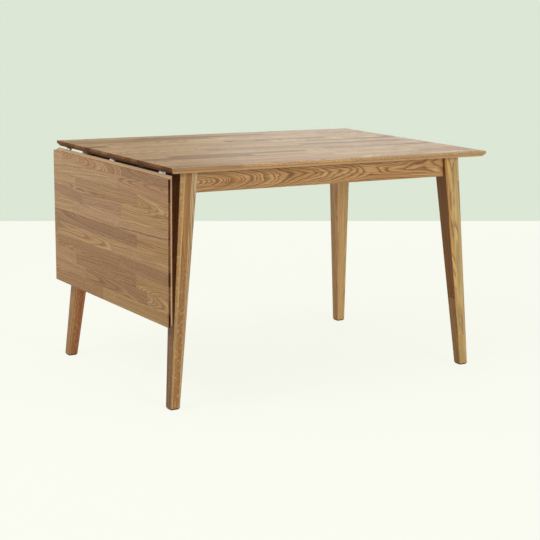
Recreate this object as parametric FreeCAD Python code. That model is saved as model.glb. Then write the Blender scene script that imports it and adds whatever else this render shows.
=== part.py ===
"""Oak dining table with a fixed top and one drop leaf hinged to a short end.

Millimetres, +Z up, +X along the table away from the leaf. The origin is on the floor, under the middle
of the whole table as it stands with its leaf hanging. One STEP file is written for each piece.
"""
import FreeCAD, Part
import math
import os

Vector = FreeCAD.Vector

# ---- Driving dimensions: panels ----------------------------------------------------------------
TABLE_HEIGHT = 750.0
TOP_LENGTH = 1200.0
TOP_WIDTH = 840.0
PANEL_THICKNESS = 18.0
LEAF_LENGTH = 450.0            # show face of the leaf, from the joint to its free edge
EDGE_UPRIGHT = 8.0             # square part of a panel edge, above the bevel
BEVEL_REACH = 9.0              # how far the bevel runs in under the panel
PANEL_EASING = 0.8             # rounding of a panel's arrises
LEAF_JOINT_GAP = 0.5           # between the top and the raised leaf

# ---- Legs and aprons ---------------------------------------------------------------------------
LEG_HEAD_SIDE = 59.5           # square section under the top
LEG_FOOT_SIDE = 32.5           # square section at the foot
LEAF_END_HEAD_INSET = 65.0     # leg's outer face to the top's end edge, under the top
LEAF_END_FOOT_INSET = 5.0      # the same at the foot
PLAIN_END_HEAD_INSET = 66.0
PLAIN_END_FOOT_INSET = 20.0
SIDE_HEAD_INSET = 68.5         # leg's outer face to the top's long edge, under the top
SIDE_FOOT_INSET = 21.5
LEG_EASING = 1.5
FOOT_CHAMFER = 1.8
RAIL_HEIGHT = 71.0
RAIL_THICKNESS = 20.0
RAIL_SETBACK = 10.5            # rail's face behind the head of the leg
RAIL_EASING = 1.0
CROSS_RAIL_HEIGHT = 50.0
CROSS_RAIL_THICKNESS = 20.0
TENON_LENGTH = 8.0
TENON_THICKNESS = 10.0
TENON_HEIGHT = 24.0
TENON_DROP = 18.0              # top of the cross rail to the top of its tenon
GLIDE_HEIGHT = 3.0
GLIDE_INSET = 2.3              # glide's sides behind the faces of the foot
GLIDE_EASING = 2.0
GLIDE_CHAMFER = 0.8
GLIDE_SPIGOT_RADIUS = 3.0
GLIDE_SPIGOT_LENGTH = 9.0

# ---- Corner blocks and leg bolts ---------------------------------------------------------------
BLOCK_THICKNESS = 28.0
BLOCK_HEIGHT = 48.0
BLOCK_DROP = 11.0              # underside of the top to the top of the block
BLOCK_LEG_CLEARANCE = 1.0      # block's end to the leg's flank
SEAT_RUNOUT_START = 3.0        # rail's lower edge to where the cut in the leg's corner runs out
BOLT_RADIUS = 4.0
BOLT_IN_LEG = 36.0
BOLT_SPACING = 24.0
BOLT_BEYOND_NUT = 4.0
WASHER_RADIUS = 9.0
WASHER_THICKNESS = 1.6
NUT_ACROSS_FLATS = 13.0
NUT_HEIGHT = 6.5
BLOCK_SCREW_LENGTH = 38.0
BLOCK_SCREW_EDGE = 12.0        # screw head's centre to the rail, measured square to the rail

# ---- Hinges ------------------------------------------------------------------------------------
PIN_DROP = 4.0                 # pin's axis below the underside of both panels
PIN_RADIUS = 2.3
PIN_HEAD_RADIUS = 3.2
PIN_HEAD_HEIGHT = 1.2
HINGE_LENGTH = 30.0
HINGE_KNUCKLES = 5
HINGE_INSET = 80.0             # middle of an outer hinge to the top's long edge
HINGE_PLATE_WIDTH = 28.0       # from the pin's axis to the plate's edge
HINGE_PLATE_THICKNESS = 1.5
KNUCKLE_WOOD_GAP = 0.3         # knuckle to the panels' undersides
KNUCKLE_END_GAP = 0.2
PIN_RUNNING_GAP = 0.05
HINGE_SCREW_PITCH = 17.0       # between the two outer screws of a plate
HINGE_SCREW_NEAR = 12.0        # outer screws from the pin's axis
HINGE_SCREW_FAR = 21.0         # middle screw from the pin's axis
HINGE_SCREW_LENGTH = 14.0

# ---- Support bars and their guides -------------------------------------------------------------
BAR_WIDTH = 50.0
BAR_THICKNESS = 3.0
BAR_INSET = 220.0              # middle of a bar to the top's long edge
BAR_TRAVEL = 280.0
BAR_END_INSET = 10.0           # bar's end inside the top's edge, clear of the swinging leaf
BAR_CORNER_RADIUS = 12.0
BAR_SLIDE_GAP = 0.3            # above and below the bar
BAR_SIDE_GAP = 0.5
BAR_STOP_GAP = 0.5             # bar's stops at both ends of its travel
FINGER_HOLE_LENGTH = 32.0
FINGER_HOLE_WIDTH = 18.0
FINGER_HOLE_INSET = 26.0       # middle of the finger hole from the bar's outer end
STOP_INSET = 12.0              # stop rivet from the bar's inner end
STOP_SHANK_RADIUS = 3.0
STOP_HEAD_RADIUS = 5.5
STOP_HEAD_HEIGHT = 5.5
GUIDE_LENGTH = 25.0
GUIDE_THICKNESS = 1.5
GUIDE_FLANGE = 14.0
OUTER_GUIDE_GAP = 4.0          # leaf-end rail to the outer guide
GUIDE_SCREW_LENGTH = 12.0

# ---- Clips that hold the top -------------------------------------------------------------------
CLIP_WIDTH = 20.0
CLIP_THICKNESS = 1.6
CLIP_FOOT = 22.0
CLIP_TONGUE = 6.0              # part of the clip inside the rail's groove
CLIP_GROOVE_DEPTH = 7.0
CLIP_GROOVE_DROP = 10.0        # underside of the top to the groove
SIDE_CLIP_INSET = 210.0        # first clip on a side rail to the top's end edge
CLIPS_PER_SIDE = 4
END_CLIP_INSET = 360.0         # clip on an end rail to the top's long edge
CLIPS_PER_END = 2
CLIP_GAP = 0.15                # clip's tongue in its groove, above and below
CLIP_SCREW_LENGTH = 14.0

# ---- Screws ------------------------------------------------------------------------------------
SCREW_RADIUS = 1.75
SCREW_HEAD_RADIUS = 3.4
SCREW_TIP = 3.0
FASTENER_GAP = 0.03            # round fastener in its hole

# ---- Derived places ----------------------------------------------------------------------------
UNDERSIDE = TABLE_HEIGHT - PANEL_THICKNESS
LEAF_OUTSTAND = PIN_DROP + PANEL_THICKNESS - BEVEL_REACH
TOP_X0 = LEAF_OUTSTAND - (TOP_LENGTH + LEAF_OUTSTAND) / 2.0
TOP_X1 = TOP_X0 + TOP_LENGTH
TOP_MIDDLE_X = (TOP_X0 + TOP_X1) / 2.0
HALF_WIDTH = TOP_WIDTH / 2.0
PIN_X = TOP_X0 + BEVEL_REACH
PIN_Z = UNDERSIDE - PIN_DROP
RAIL_BOTTOM = UNDERSIDE - RAIL_HEIGHT
KNUCKLE_RADIUS = PIN_DROP - KNUCKLE_WOOD_GAP
BAR_TOP = UNDERSIDE - BAR_SLIDE_GAP
BAR_BOTTOM = BAR_TOP - BAR_THICKNESS
BAR_X0 = TOP_X0 + BAR_END_INSET
BAR_X1 = TOP_MIDDLE_X - CROSS_RAIL_THICKNESS / 2.0 - BAR_STOP_GAP
BAR_CHANNEL_HALF = BAR_WIDTH / 2.0 + BAR_SIDE_GAP
CHANNEL_FLOOR = BAR_BOTTOM - BAR_SLIDE_GAP
DIAGONAL = math.sqrt(2.0)

LEAF_END = -1
PLAIN_END = 1
FRONT = -1
BACK = 1
END_NAMES = {LEAF_END: "leaf", PLAIN_END: "plain"}
SIDE_NAMES = {FRONT: "front", BACK: "back"}
CORNERS = [(end, side) for end in (LEAF_END, PLAIN_END) for side in (FRONT, BACK)]
HEAD_INSETS = {LEAF_END: LEAF_END_HEAD_INSET, PLAIN_END: PLAIN_END_HEAD_INSET}
FOOT_INSETS = {LEAF_END: LEAF_END_FOOT_INSET, PLAIN_END: PLAIN_END_FOOT_INSET}
HINGE_PLACES = {"front": HINGE_INSET - HALF_WIDTH, "middle": 0.0, "back": HALF_WIDTH - HINGE_INSET}
BAR_PLACES = {"front": BAR_INSET - HALF_WIDTH, "back": HALF_WIDTH - BAR_INSET}


# ---- Helpers -----------------------------------------------------------------------------------
def block(x0, x1, y0, y1, z0, z1):
    """Box between two corners."""
    return Part.makeBox(x1 - x0, y1 - y0, z1 - z0, Vector(x0, y0, z0))


def prism(points, direction):
    """Solid made by pushing a closed flat outline along a vector."""
    outline = Part.makePolygon(points + points[:1])
    return Part.Face(outline).extrude(direction)


def turned(profile, base, direction):
    """Solid of revolution. The profile is (radius, distance along the axis) from the axis and back."""
    points = [Vector(radius, 0.0, along) for radius, along in profile]
    face = Part.Face(Part.makePolygon(points + points[:1]))
    solid = face.revolve(Vector(0, 0, 0), Vector(0, 0, 1), 360.0)
    turn = FreeCAD.Rotation(Vector(0, 0, 1), direction)
    solid.Placement = FreeCAD.Placement(base, turn)
    return solid


def rod(radius, length, base, direction):
    """Plain cylinder."""
    return Part.makeCylinder(radius, length, base, direction)


def cut_with(solid, tools):
    """The solid less each tool."""
    for tool in tools:
        solid = solid.cut(tool)
    return solid


def largest(shape):
    """The largest solid of a shape."""
    return max(shape.Solids, key=lambda piece: piece.Volume)


def lowered(shape):
    """A leaf piece modelled level with the top, turned down about the hinge pins."""
    hanging = shape.copy()
    hanging.rotate(Vector(PIN_X, 0, PIN_Z), Vector(0, 1, 0), -90.0)
    return hanging


def screw(base, direction, length, grow=0.0):
    """Countersunk wood screw with its head flush at base. grow widens it into its hole."""
    shank = SCREW_RADIUS + grow
    head = SCREW_HEAD_RADIUS + grow
    profile = [
        (0.0, 0.0),
        (head, 0.0),
        (shank, head - shank),
        (shank, length - SCREW_TIP),
        (0.0, length + grow),
    ]
    return turned(profile, base, direction)


def screw_hole(base, direction, length):
    """Countersunk hole that a screw fills."""
    return screw(base, direction, length, FASTENER_GAP)


# ---- Panels ------------------------------------------------------------------------------------
def panel(x_left, x_right, right_reach):
    """Panel level with the top, bevelled under its edges, with its arrises eased.

    right_reach is how far the right edge's lower arris lies beyond the upper one: negative for a
    bevel that runs in under the panel, positive for the counter-bevel that meets one.
    """
    upright = TABLE_HEIGHT - EDGE_UPRIGHT
    lengthways = [
        Vector(x_left, -TOP_WIDTH, TABLE_HEIGHT),
        Vector(x_right, -TOP_WIDTH, TABLE_HEIGHT),
        Vector(x_right, -TOP_WIDTH, upright),
        Vector(x_right + right_reach, -TOP_WIDTH, UNDERSIDE),
        Vector(x_left + BEVEL_REACH, -TOP_WIDTH, UNDERSIDE),
        Vector(x_left, -TOP_WIDTH, upright),
    ]
    far_left = x_left - TOP_WIDTH
    crossways = [
        Vector(far_left, -HALF_WIDTH, TABLE_HEIGHT),
        Vector(far_left, HALF_WIDTH, TABLE_HEIGHT),
        Vector(far_left, HALF_WIDTH, upright),
        Vector(far_left, HALF_WIDTH - BEVEL_REACH, UNDERSIDE),
        Vector(far_left, BEVEL_REACH - HALF_WIDTH, UNDERSIDE),
        Vector(far_left, -HALF_WIDTH, upright),
    ]
    along = prism(lengthways, Vector(0, 2.0 * TOP_WIDTH, 0))
    across = prism(crossways, Vector(x_right - x_left + 2.0 * TOP_WIDTH, 0, 0))
    solid = largest(along.common(across))
    return solid.makeFillet(PANEL_EASING, solid.Edges)


def table_top(holes):
    """Fixed top, with a hole for each screw that enters it from below."""
    return largest(cut_with(panel(TOP_X0, TOP_X1, -BEVEL_REACH), holes))


def drop_leaf(holes):
    """Leaf, modelled level with the top and then lowered."""
    joint_edge = TOP_X0 - LEAF_JOINT_GAP
    level = panel(joint_edge - LEAF_LENGTH, joint_edge, BEVEL_REACH)
    return lowered(largest(cut_with(level, holes)))


# ---- Corners: legs, blocks, bolts, glides ------------------------------------------------------
def at_corner(end, side, inward_x, inward_y, z):
    """Point given by its distances in from the top's end edge and long edge."""
    edge_x = TOP_X0 if end == LEAF_END else TOP_X1
    return Vector(edge_x - end * inward_x, side * (HALF_WIDTH - inward_y), z)


def corner_direction(end, side):
    """Level direction from a leg towards the middle of the table, at 45 degrees."""
    return Vector(-end / DIAGONAL, -side / DIAGONAL, 0)


def inner_head(end):
    """Leg's inner corner under the top, as distances in from the top's end and long edges."""
    return HEAD_INSETS[end] + LEG_HEAD_SIDE, SIDE_HEAD_INSET + LEG_HEAD_SIDE


def seat_point(end, side, along, across, z):
    """Point near a corner block: along runs inwards from the leg's seat, across runs along the seat."""
    inner_x, inner_y = inner_head(end)
    rail_inner_x = HEAD_INSETS[end] + RAIL_SETBACK + RAIL_THICKNESS
    seat_sum = rail_inner_x + inner_y + BLOCK_LEG_CLEARANCE
    middle_x = (seat_sum + inner_x - inner_y) / 2.0
    middle_y = seat_sum - middle_x
    inward_x = middle_x + (along + across) / DIAGONAL
    inward_y = middle_y + (along - across) / DIAGONAL
    return at_corner(end, side, inward_x, inward_y, z)


def seat_cut(end, side):
    """Tool that takes off a leg's inner corner behind the rails and runs out just below them."""
    reach = LEG_HEAD_SIDE
    start = RAIL_BOTTOM + SEAT_RUNOUT_START
    outline = [
        seat_point(end, side, 0.0, -reach, start),
        seat_point(end, side, 0.0, -reach, TABLE_HEIGHT),
        seat_point(end, side, reach, -reach, TABLE_HEIGHT),
        seat_point(end, side, reach, -reach, start - reach),
    ]
    width = seat_point(end, side, 0.0, reach, start) - outline[0]
    return prism(outline, width)


def bolt_heights():
    """Heights of the two bolts of a leg."""
    middle = UNDERSIDE - BLOCK_DROP - BLOCK_HEIGHT / 2.0
    return [middle - BOLT_SPACING / 2.0, middle + BOLT_SPACING / 2.0]


def bolt_bores(end, side):
    """Bores for the leg's bolts, through the block and into the leg."""
    bores = []
    for z in bolt_heights():
        base = seat_point(end, side, -BOLT_IN_LEG, 0.0, z)
        bores.append(rod(BOLT_RADIUS + FASTENER_GAP, BOLT_IN_LEG + 2.0 * BLOCK_THICKNESS, base,
                         corner_direction(end, side)))
    return bores


def foot_centre(end, side, z):
    """Middle of a leg's foot."""
    half = LEG_FOOT_SIDE / 2.0
    return at_corner(end, side, FOOT_INSETS[end] + half, SIDE_FOOT_INSET + half, z)


def glide_spigot(end, side, grow):
    """Spigot that holds a glide in its foot."""
    return rod(GLIDE_SPIGOT_RADIUS + grow, GLIDE_SPIGOT_LENGTH + grow,
               foot_centre(end, side, GLIDE_HEIGHT), Vector(0, 0, 1))


def glide(end, side):
    """Square plastic glide under a foot, with a chamfered sole and a spigot pressed into the leg."""
    middle = foot_centre(end, side, 0.0)
    half = LEG_FOOT_SIDE / 2.0 - GLIDE_INSET
    pad = block(middle.x - half, middle.x + half, middle.y - half, middle.y + half, 0.0, GLIDE_HEIGHT)
    corners = [edge for edge in pad.Edges if edge.BoundBox.ZLength > GLIDE_HEIGHT / 2.0]
    pad = pad.makeFillet(GLIDE_EASING, corners)
    sole = [edge for edge in pad.Edges if edge.BoundBox.ZMax < GLIDE_HEIGHT / 2.0]
    pad = pad.makeChamfer(GLIDE_CHAMFER, sole)
    return pad.fuse(glide_spigot(end, side, 0.0)).removeSplitter().Solids[0]


def leg_taper(end, side):
    """The two upright wedges whose common part is a leg: one seen from the side, one from the end."""
    foot, head = GLIDE_HEIGHT, UNDERSIDE
    side_view = []
    end_view = []
    for z, inset_x, inset_y, size in ((foot, FOOT_INSETS[end], SIDE_FOOT_INSET, LEG_FOOT_SIDE),
                                      (head, HEAD_INSETS[end], SIDE_HEAD_INSET, LEG_HEAD_SIDE)):
        across = [0.0, size] if z == foot else [size, 0.0]
        side_view += [at_corner(end, side, inset_x + step, 0.0, z) for step in across]
        end_view += [at_corner(end, side, 0.0, inset_y + step, z) for step in across]
    return (prism(side_view, Vector(0, -side * HALF_WIDTH, 0)),
            prism(end_view, Vector(-end * HALF_WIDTH, 0, 0)))


def leg(end, side):
    """Tapered leg that splays both ways, seated for its corner block and bored for bolts and glide."""
    from_side, from_end = leg_taper(end, side)
    solid = largest(from_side.common(from_end))
    foot_edges = [edge for edge in solid.Edges if edge.BoundBox.ZMax < GLIDE_HEIGHT + FOOT_CHAMFER]
    solid = solid.makeChamfer(FOOT_CHAMFER, foot_edges)
    long_edges = [edge for edge in solid.Edges if edge.BoundBox.ZLength > RAIL_HEIGHT]
    solid = solid.makeFillet(LEG_EASING, long_edges)
    tools = [seat_cut(end, side), glide_spigot(end, side, FASTENER_GAP)] + bolt_bores(end, side)
    return largest(cut_with(solid, tools))


def block_screw_places(end, side):
    """Head and direction of the screw at each end of a corner block."""
    places = []
    inner_x, inner_y = inner_head(end)
    rail_inner_x = HEAD_INSETS[end] + RAIL_SETBACK + RAIL_THICKNESS
    rail_inner_y = SIDE_HEAD_INSET + RAIL_SETBACK + RAIL_THICKNESS
    back_sum = rail_inner_x + inner_y + BLOCK_LEG_CLEARANCE + BLOCK_THICKNESS * DIAGONAL
    z = UNDERSIDE - BLOCK_DROP - BLOCK_HEIGHT / 2.0
    near_x = rail_inner_x + BLOCK_SCREW_EDGE
    near_y = rail_inner_y + BLOCK_SCREW_EDGE
    for inward_x, inward_y in ((near_x, back_sum - near_x), (back_sum - near_y, near_y)):
        places.append((at_corner(end, side, inward_x, inward_y, z), corner_direction(end, side).negative()))
    return places


def block_screw_holes(end, side):
    """Holes for the screws of one corner block."""
    return [screw_hole(head, way, BLOCK_SCREW_LENGTH) for head, way in block_screw_places(end, side)]


def corner_block(end, side):
    """Wooden block across a corner: its long face on the leg's seat, its ends on the rails."""
    inner_x, inner_y = inner_head(end)
    rail_inner_x = HEAD_INSETS[end] + RAIL_SETBACK + RAIL_THICKNESS
    rail_inner_y = SIDE_HEAD_INSET + RAIL_SETBACK + RAIL_THICKNESS
    seat_sum = rail_inner_x + inner_y + BLOCK_LEG_CLEARANCE
    back_sum = seat_sum + BLOCK_THICKNESS * DIAGONAL
    top = UNDERSIDE - BLOCK_DROP
    outline = [
        at_corner(end, side, rail_inner_x, seat_sum - rail_inner_x, top),
        at_corner(end, side, seat_sum - rail_inner_y, rail_inner_y, top),
        at_corner(end, side, back_sum - rail_inner_y, rail_inner_y, top),
        at_corner(end, side, rail_inner_x, back_sum - rail_inner_x, top),
    ]
    solid = prism(outline, Vector(0, 0, -BLOCK_HEIGHT))
    return largest(cut_with(solid, bolt_bores(end, side) + block_screw_holes(end, side)))


def leg_bolts(end, side):
    """Two bolts of a leg, screwed into it and standing out through the block."""
    length = BOLT_IN_LEG + BLOCK_THICKNESS + WASHER_THICKNESS + NUT_HEIGHT + BOLT_BEYOND_NUT
    bolts = []
    for z in bolt_heights():
        base = seat_point(end, side, -BOLT_IN_LEG, 0.0, z)
        bolts.append(rod(BOLT_RADIUS, length, base, corner_direction(end, side)))
    return bolts


def leg_washers(end, side):
    """Washers on the block's inner face."""
    washers = []
    for z in bolt_heights():
        base = seat_point(end, side, BLOCK_THICKNESS, 0.0, z)
        way = corner_direction(end, side)
        disc = rod(WASHER_RADIUS, WASHER_THICKNESS, base, way)
        washers.append(largest(disc.cut(rod(BOLT_RADIUS + FASTENER_GAP, WASHER_THICKNESS, base, way))))
    return washers


def leg_nuts(end, side):
    """Hexagon nuts on the washers."""
    nuts = []
    way = corner_direction(end, side)
    corner_radius = NUT_ACROSS_FLATS / math.sqrt(3.0)
    for z in bolt_heights():
        base = seat_point(end, side, BLOCK_THICKNESS + WASHER_THICKNESS, 0.0, z)
        level = Vector(0, 0, 1).cross(way)
        outline = []
        for step in range(6):
            angle = math.radians(60.0 * step)
            outline.append(base + level * (corner_radius * math.cos(angle))
                           + Vector(0, 0, corner_radius * math.sin(angle)))
        hexagon = prism(outline, way * NUT_HEIGHT)
        nuts.append(largest(hexagon.cut(rod(BOLT_RADIUS + FASTENER_GAP, NUT_HEIGHT, base, way))))
    return nuts


# ---- Rails -------------------------------------------------------------------------------------
def bar_slot_tool(y, x0, x1):
    """Passage for a support bar, open to the underside of the top."""
    return block(x0, x1, y - BAR_CHANNEL_HALF, y + BAR_CHANNEL_HALF, CHANNEL_FLOOR, TABLE_HEIGHT)


def groove_heights():
    """Lower and upper edge of the clip groove."""
    upper = UNDERSIDE - CLIP_GROOVE_DROP
    return upper - CLIP_THICKNESS - 2.0 * CLIP_GAP, upper


def flank(foot_inset, head_inset, z):
    """Distance from the top's edge to a leg's inner face, at one height."""
    rise = (z - GLIDE_HEIGHT) / (UNDERSIDE - GLIDE_HEIGHT)
    foot = foot_inset + LEG_FOOT_SIDE
    head = head_inset + LEG_HEAD_SIDE
    return foot + (head - foot) * rise


def eased_rail(outline, thickness):
    """Rail pushed out of its outline, with its two long lower arrises rounded."""
    solid = prism(outline, thickness)
    low = [edge for edge in solid.Edges
           if edge.BoundBox.ZMax < RAIL_BOTTOM + RAIL_EASING and edge.Length > 2.0 * RAIL_THICKNESS]
    return solid.makeFillet(RAIL_EASING, low)


def side_rail(side, holes):
    """Long rail between two legs, its ends sloped as they are, grooved for clips and mortised."""
    outer = HALF_WIDTH - SIDE_HEAD_INSET - RAIL_SETBACK
    inner = outer - RAIL_THICKNESS
    outline = []
    for z in (RAIL_BOTTOM, UNDERSIDE):
        start = TOP_X0 + flank(LEAF_END_FOOT_INSET, LEAF_END_HEAD_INSET, z)
        finish = TOP_X1 - flank(PLAIN_END_FOOT_INSET, PLAIN_END_HEAD_INSET, z)
        ends = [start, finish] if z == RAIL_BOTTOM else [finish, start]
        outline += [Vector(x, side * inner, z) for x in ends]
    rail = eased_rail(outline, Vector(0, side * RAIL_THICKNESS, 0))
    groove_low, groove_high = groove_heights()
    groove_y = sorted((side * inner, side * (inner + CLIP_GROOVE_DEPTH)))
    groove = block(TOP_X0, TOP_X1, groove_y[0], groove_y[1], groove_low, groove_high)
    return largest(cut_with(rail, [groove, tenon(side)] + holes))


def end_rail(end, holes):
    """Short rail between two legs. The one at the leaf has a passage for each support bar."""
    edge_x = TOP_X0 if end == LEAF_END else TOP_X1
    outer = edge_x - end * (HEAD_INSETS[end] + RAIL_SETBACK)
    inner = outer - end * RAIL_THICKNESS
    outline = []
    for z in (RAIL_BOTTOM, UNDERSIDE):
        reach = HALF_WIDTH - flank(SIDE_FOOT_INSET, SIDE_HEAD_INSET, z)
        ends = [-reach, reach] if z == RAIL_BOTTOM else [reach, -reach]
        outline += [Vector(inner, y, z) for y in ends]
    rail = eased_rail(outline, Vector(end * RAIL_THICKNESS, 0, 0))
    groove_low, groove_high = groove_heights()
    groove_x = sorted((inner, inner + end * CLIP_GROOVE_DEPTH))
    tools = [block(groove_x[0], groove_x[1], -HALF_WIDTH, HALF_WIDTH, groove_low, groove_high)]
    if end == LEAF_END:
        low_x, high_x = sorted((outer, inner))
        tools += [bar_slot_tool(y, low_x, high_x) for y in BAR_PLACES.values()]
    return largest(cut_with(rail, tools + holes))


def tenon(side):
    """Stub tenon of the cross rail, which is also its mortise in the side rail."""
    shoulder = HALF_WIDTH - SIDE_HEAD_INSET - RAIL_SETBACK - RAIL_THICKNESS
    low_y, high_y = sorted((side * shoulder, side * (shoulder + TENON_LENGTH)))
    half = TENON_THICKNESS / 2.0
    top = UNDERSIDE - TENON_DROP
    return block(TOP_MIDDLE_X - half, TOP_MIDDLE_X + half, low_y, high_y, top - TENON_HEIGHT, top)


def cross_rail():
    """Rail under the middle of the top, tenoned into the side rails."""
    shoulder = HALF_WIDTH - SIDE_HEAD_INSET - RAIL_SETBACK - RAIL_THICKNESS
    half = CROSS_RAIL_THICKNESS / 2.0
    bar = block(TOP_MIDDLE_X - half, TOP_MIDDLE_X + half, -shoulder, shoulder,
                UNDERSIDE - CROSS_RAIL_HEIGHT, UNDERSIDE)
    return bar.fuse([tenon(FRONT), tenon(BACK)]).removeSplitter().Solids[0]


# ---- Hinges ------------------------------------------------------------------------------------
def knuckle_spans(y, on_leaf):
    """Stretches along the pin that one plate's knuckles fill."""
    pitch = HINGE_LENGTH / HINGE_KNUCKLES
    first = 1 if on_leaf else 0
    spans = []
    for index in range(first, HINGE_KNUCKLES, 2):
        start = y - HINGE_LENGTH / 2.0 + index * pitch
        low = start + (KNUCKLE_END_GAP / 2.0 if index > 0 else 0.0)
        high = start + pitch - (KNUCKLE_END_GAP / 2.0 if index < HINGE_KNUCKLES - 1 else 0.0)
        spans.append((low, high))
    return spans


def hinge_screw_places(y, way):
    """Heads of a plate's screws. way is +1 for the plate on the top and -1 for the one on the leaf."""
    z = UNDERSIDE - HINGE_PLATE_THICKNESS
    half = HINGE_SCREW_PITCH / 2.0
    places = [(HINGE_SCREW_NEAR, -half), (HINGE_SCREW_FAR, 0.0), (HINGE_SCREW_NEAR, half)]
    return [Vector(PIN_X + way * reach, y + offset, z) for reach, offset in places]


def hinge_holes(y, way):
    """Countersunk holes through a plate and into the panel above it."""
    up = Vector(0, 0, 1)
    return [screw_hole(head, up, HINGE_SCREW_LENGTH) for head in hinge_screw_places(y, way)]


def hinge_plate(y, way):
    """Hinge plate with rolled knuckles, level under its panel. way is as in hinge_screw_places."""
    on_leaf = way < 0
    low_z = UNDERSIDE - HINGE_PLATE_THICKNESS
    clear = KNUCKLE_RADIUS + 2.0 * KNUCKLE_END_GAP
    near, far = sorted((PIN_X + way * clear, PIN_X + way * HINGE_PLATE_WIDTH))
    half = HINGE_LENGTH / 2.0
    plate = block(near, far, y - half, y + half, low_z, UNDERSIDE)
    pieces = []
    for low, high in knuckle_spans(y, on_leaf):
        finger_x = sorted((PIN_X, PIN_X + way * clear))
        pieces.append(block(finger_x[0], finger_x[1], low, high, low_z, UNDERSIDE))
        pieces.append(rod(KNUCKLE_RADIUS, high - low, Vector(PIN_X, low, PIN_Z), Vector(0, 1, 0)))
    plate = plate.fuse(pieces).removeSplitter()
    bore = rod(PIN_RADIUS + PIN_RUNNING_GAP, HINGE_LENGTH, Vector(PIN_X, y - half, PIN_Z), Vector(0, 1, 0))
    return largest(cut_with(plate.cut(bore), hinge_holes(y, way)))


def hinge_pin(y):
    """Pin with a head at each end of the knuckles."""
    half = HINGE_LENGTH / 2.0
    profile = [
        (0.0, -half - PIN_HEAD_HEIGHT),
        (PIN_HEAD_RADIUS, -half - PIN_HEAD_HEIGHT),
        (PIN_HEAD_RADIUS, -half),
        (PIN_RADIUS, -half),
        (PIN_RADIUS, half),
        (PIN_HEAD_RADIUS, half),
        (PIN_HEAD_RADIUS, half + PIN_HEAD_HEIGHT),
        (0.0, half + PIN_HEAD_HEIGHT),
    ]
    return turned(profile, Vector(PIN_X, y, PIN_Z), Vector(0, 1, 0))


# ---- Support bars ------------------------------------------------------------------------------
def stop_x():
    """Stop rivet's axis, with the bar pushed in."""
    return BAR_X1 - STOP_INSET


def guide_starts():
    """Left edge of each guide: the outer one by the leaf-end rail, the inner one where the bar stops."""
    rail_inner = TOP_X0 + LEAF_END_HEAD_INSET + RAIL_SETBACK + RAIL_THICKNESS
    stopped = stop_x() - BAR_TRAVEL - STOP_HEAD_RADIUS - BAR_STOP_GAP
    return {"outer": rail_inner + OUTER_GUIDE_GAP, "inner": stopped - GUIDE_LENGTH}


def finger_hole(y):
    """Slot with round ends near the bar's outer end."""
    radius = FINGER_HOLE_WIDTH / 2.0
    middle = BAR_X0 + FINGER_HOLE_INSET
    half = FINGER_HOLE_LENGTH / 2.0 - radius
    up = Vector(0, 0, 1)
    straight = block(middle - half, middle + half, y - radius, y + radius, BAR_BOTTOM, BAR_TOP)
    ends = [rod(radius, BAR_THICKNESS, Vector(middle + x, y, BAR_BOTTOM), up) for x in (-half, half)]
    return straight.fuse(ends)


def stop_rivet(y, grow=0.0):
    """Rivet through the bar's inner end, with a head below that meets the inner guide."""
    shank = STOP_SHANK_RADIUS + grow
    profile = [
        (0.0, 0.0),
        (STOP_HEAD_RADIUS, 0.0),
        (STOP_HEAD_RADIUS, STOP_HEAD_HEIGHT),
        (shank, STOP_HEAD_HEIGHT),
        (shank, STOP_HEAD_HEIGHT + BAR_THICKNESS),
        (0.0, STOP_HEAD_HEIGHT + BAR_THICKNESS),
    ]
    return turned(profile, Vector(stop_x(), y, BAR_BOTTOM - STOP_HEAD_HEIGHT), Vector(0, 0, 1))


def support_bar(y):
    """Flat bar that slides out to carry the raised leaf."""
    half = BAR_WIDTH / 2.0
    solid = block(BAR_X0, BAR_X1, y - half, y + half, BAR_BOTTOM, BAR_TOP)
    upright = [edge for edge in solid.Edges if edge.BoundBox.ZLength > BAR_THICKNESS / 2.0]
    outer = [edge for edge in upright if edge.BoundBox.XMax < BAR_X0 + BAR_CORNER_RADIUS]
    solid = solid.makeFillet(BAR_CORNER_RADIUS, outer)
    return largest(solid.cut(finger_hole(y)).cut(stop_rivet(y, FASTENER_GAP)))


def guide_screw_places(y, start):
    """Heads of a guide's two screws."""
    reach = BAR_CHANNEL_HALF + GUIDE_THICKNESS + GUIDE_FLANGE / 2.0
    x = start + GUIDE_LENGTH / 2.0
    return [Vector(x, y + way * reach, UNDERSIDE - GUIDE_THICKNESS) for way in (-1, 1)]


def guide_screw_holes(y, start):
    """Holes for a guide's screws."""
    up = Vector(0, 0, 1)
    return [screw_hole(head, up, GUIDE_SCREW_LENGTH) for head in guide_screw_places(y, start)]


def bar_guide(y, start):
    """Pressed bridge that holds a bar up against the underside of the top."""
    wall = BAR_CHANNEL_HALF
    outside = wall + GUIDE_THICKNESS
    flange = outside + GUIDE_FLANGE
    flange_low = UNDERSIDE - GUIDE_THICKNESS
    right_half = [
        (wall, CHANNEL_FLOOR),
        (wall, UNDERSIDE),
        (flange, UNDERSIDE),
        (flange, flange_low),
        (outside, flange_low),
        (outside, CHANNEL_FLOOR - GUIDE_THICKNESS),
    ]
    left_half = [(-across, z) for across, z in reversed(right_half)]
    outline = [Vector(start, y + across, z) for across, z in right_half + left_half]
    solid = prism(outline, Vector(GUIDE_LENGTH, 0, 0))
    return largest(cut_with(solid, guide_screw_holes(y, start)))


# ---- Clips -------------------------------------------------------------------------------------
def spread(first, last, count):
    """Evenly spaced places from the first to the last."""
    return [first + (last - first) * index / (count - 1) for index in range(count)]


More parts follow.
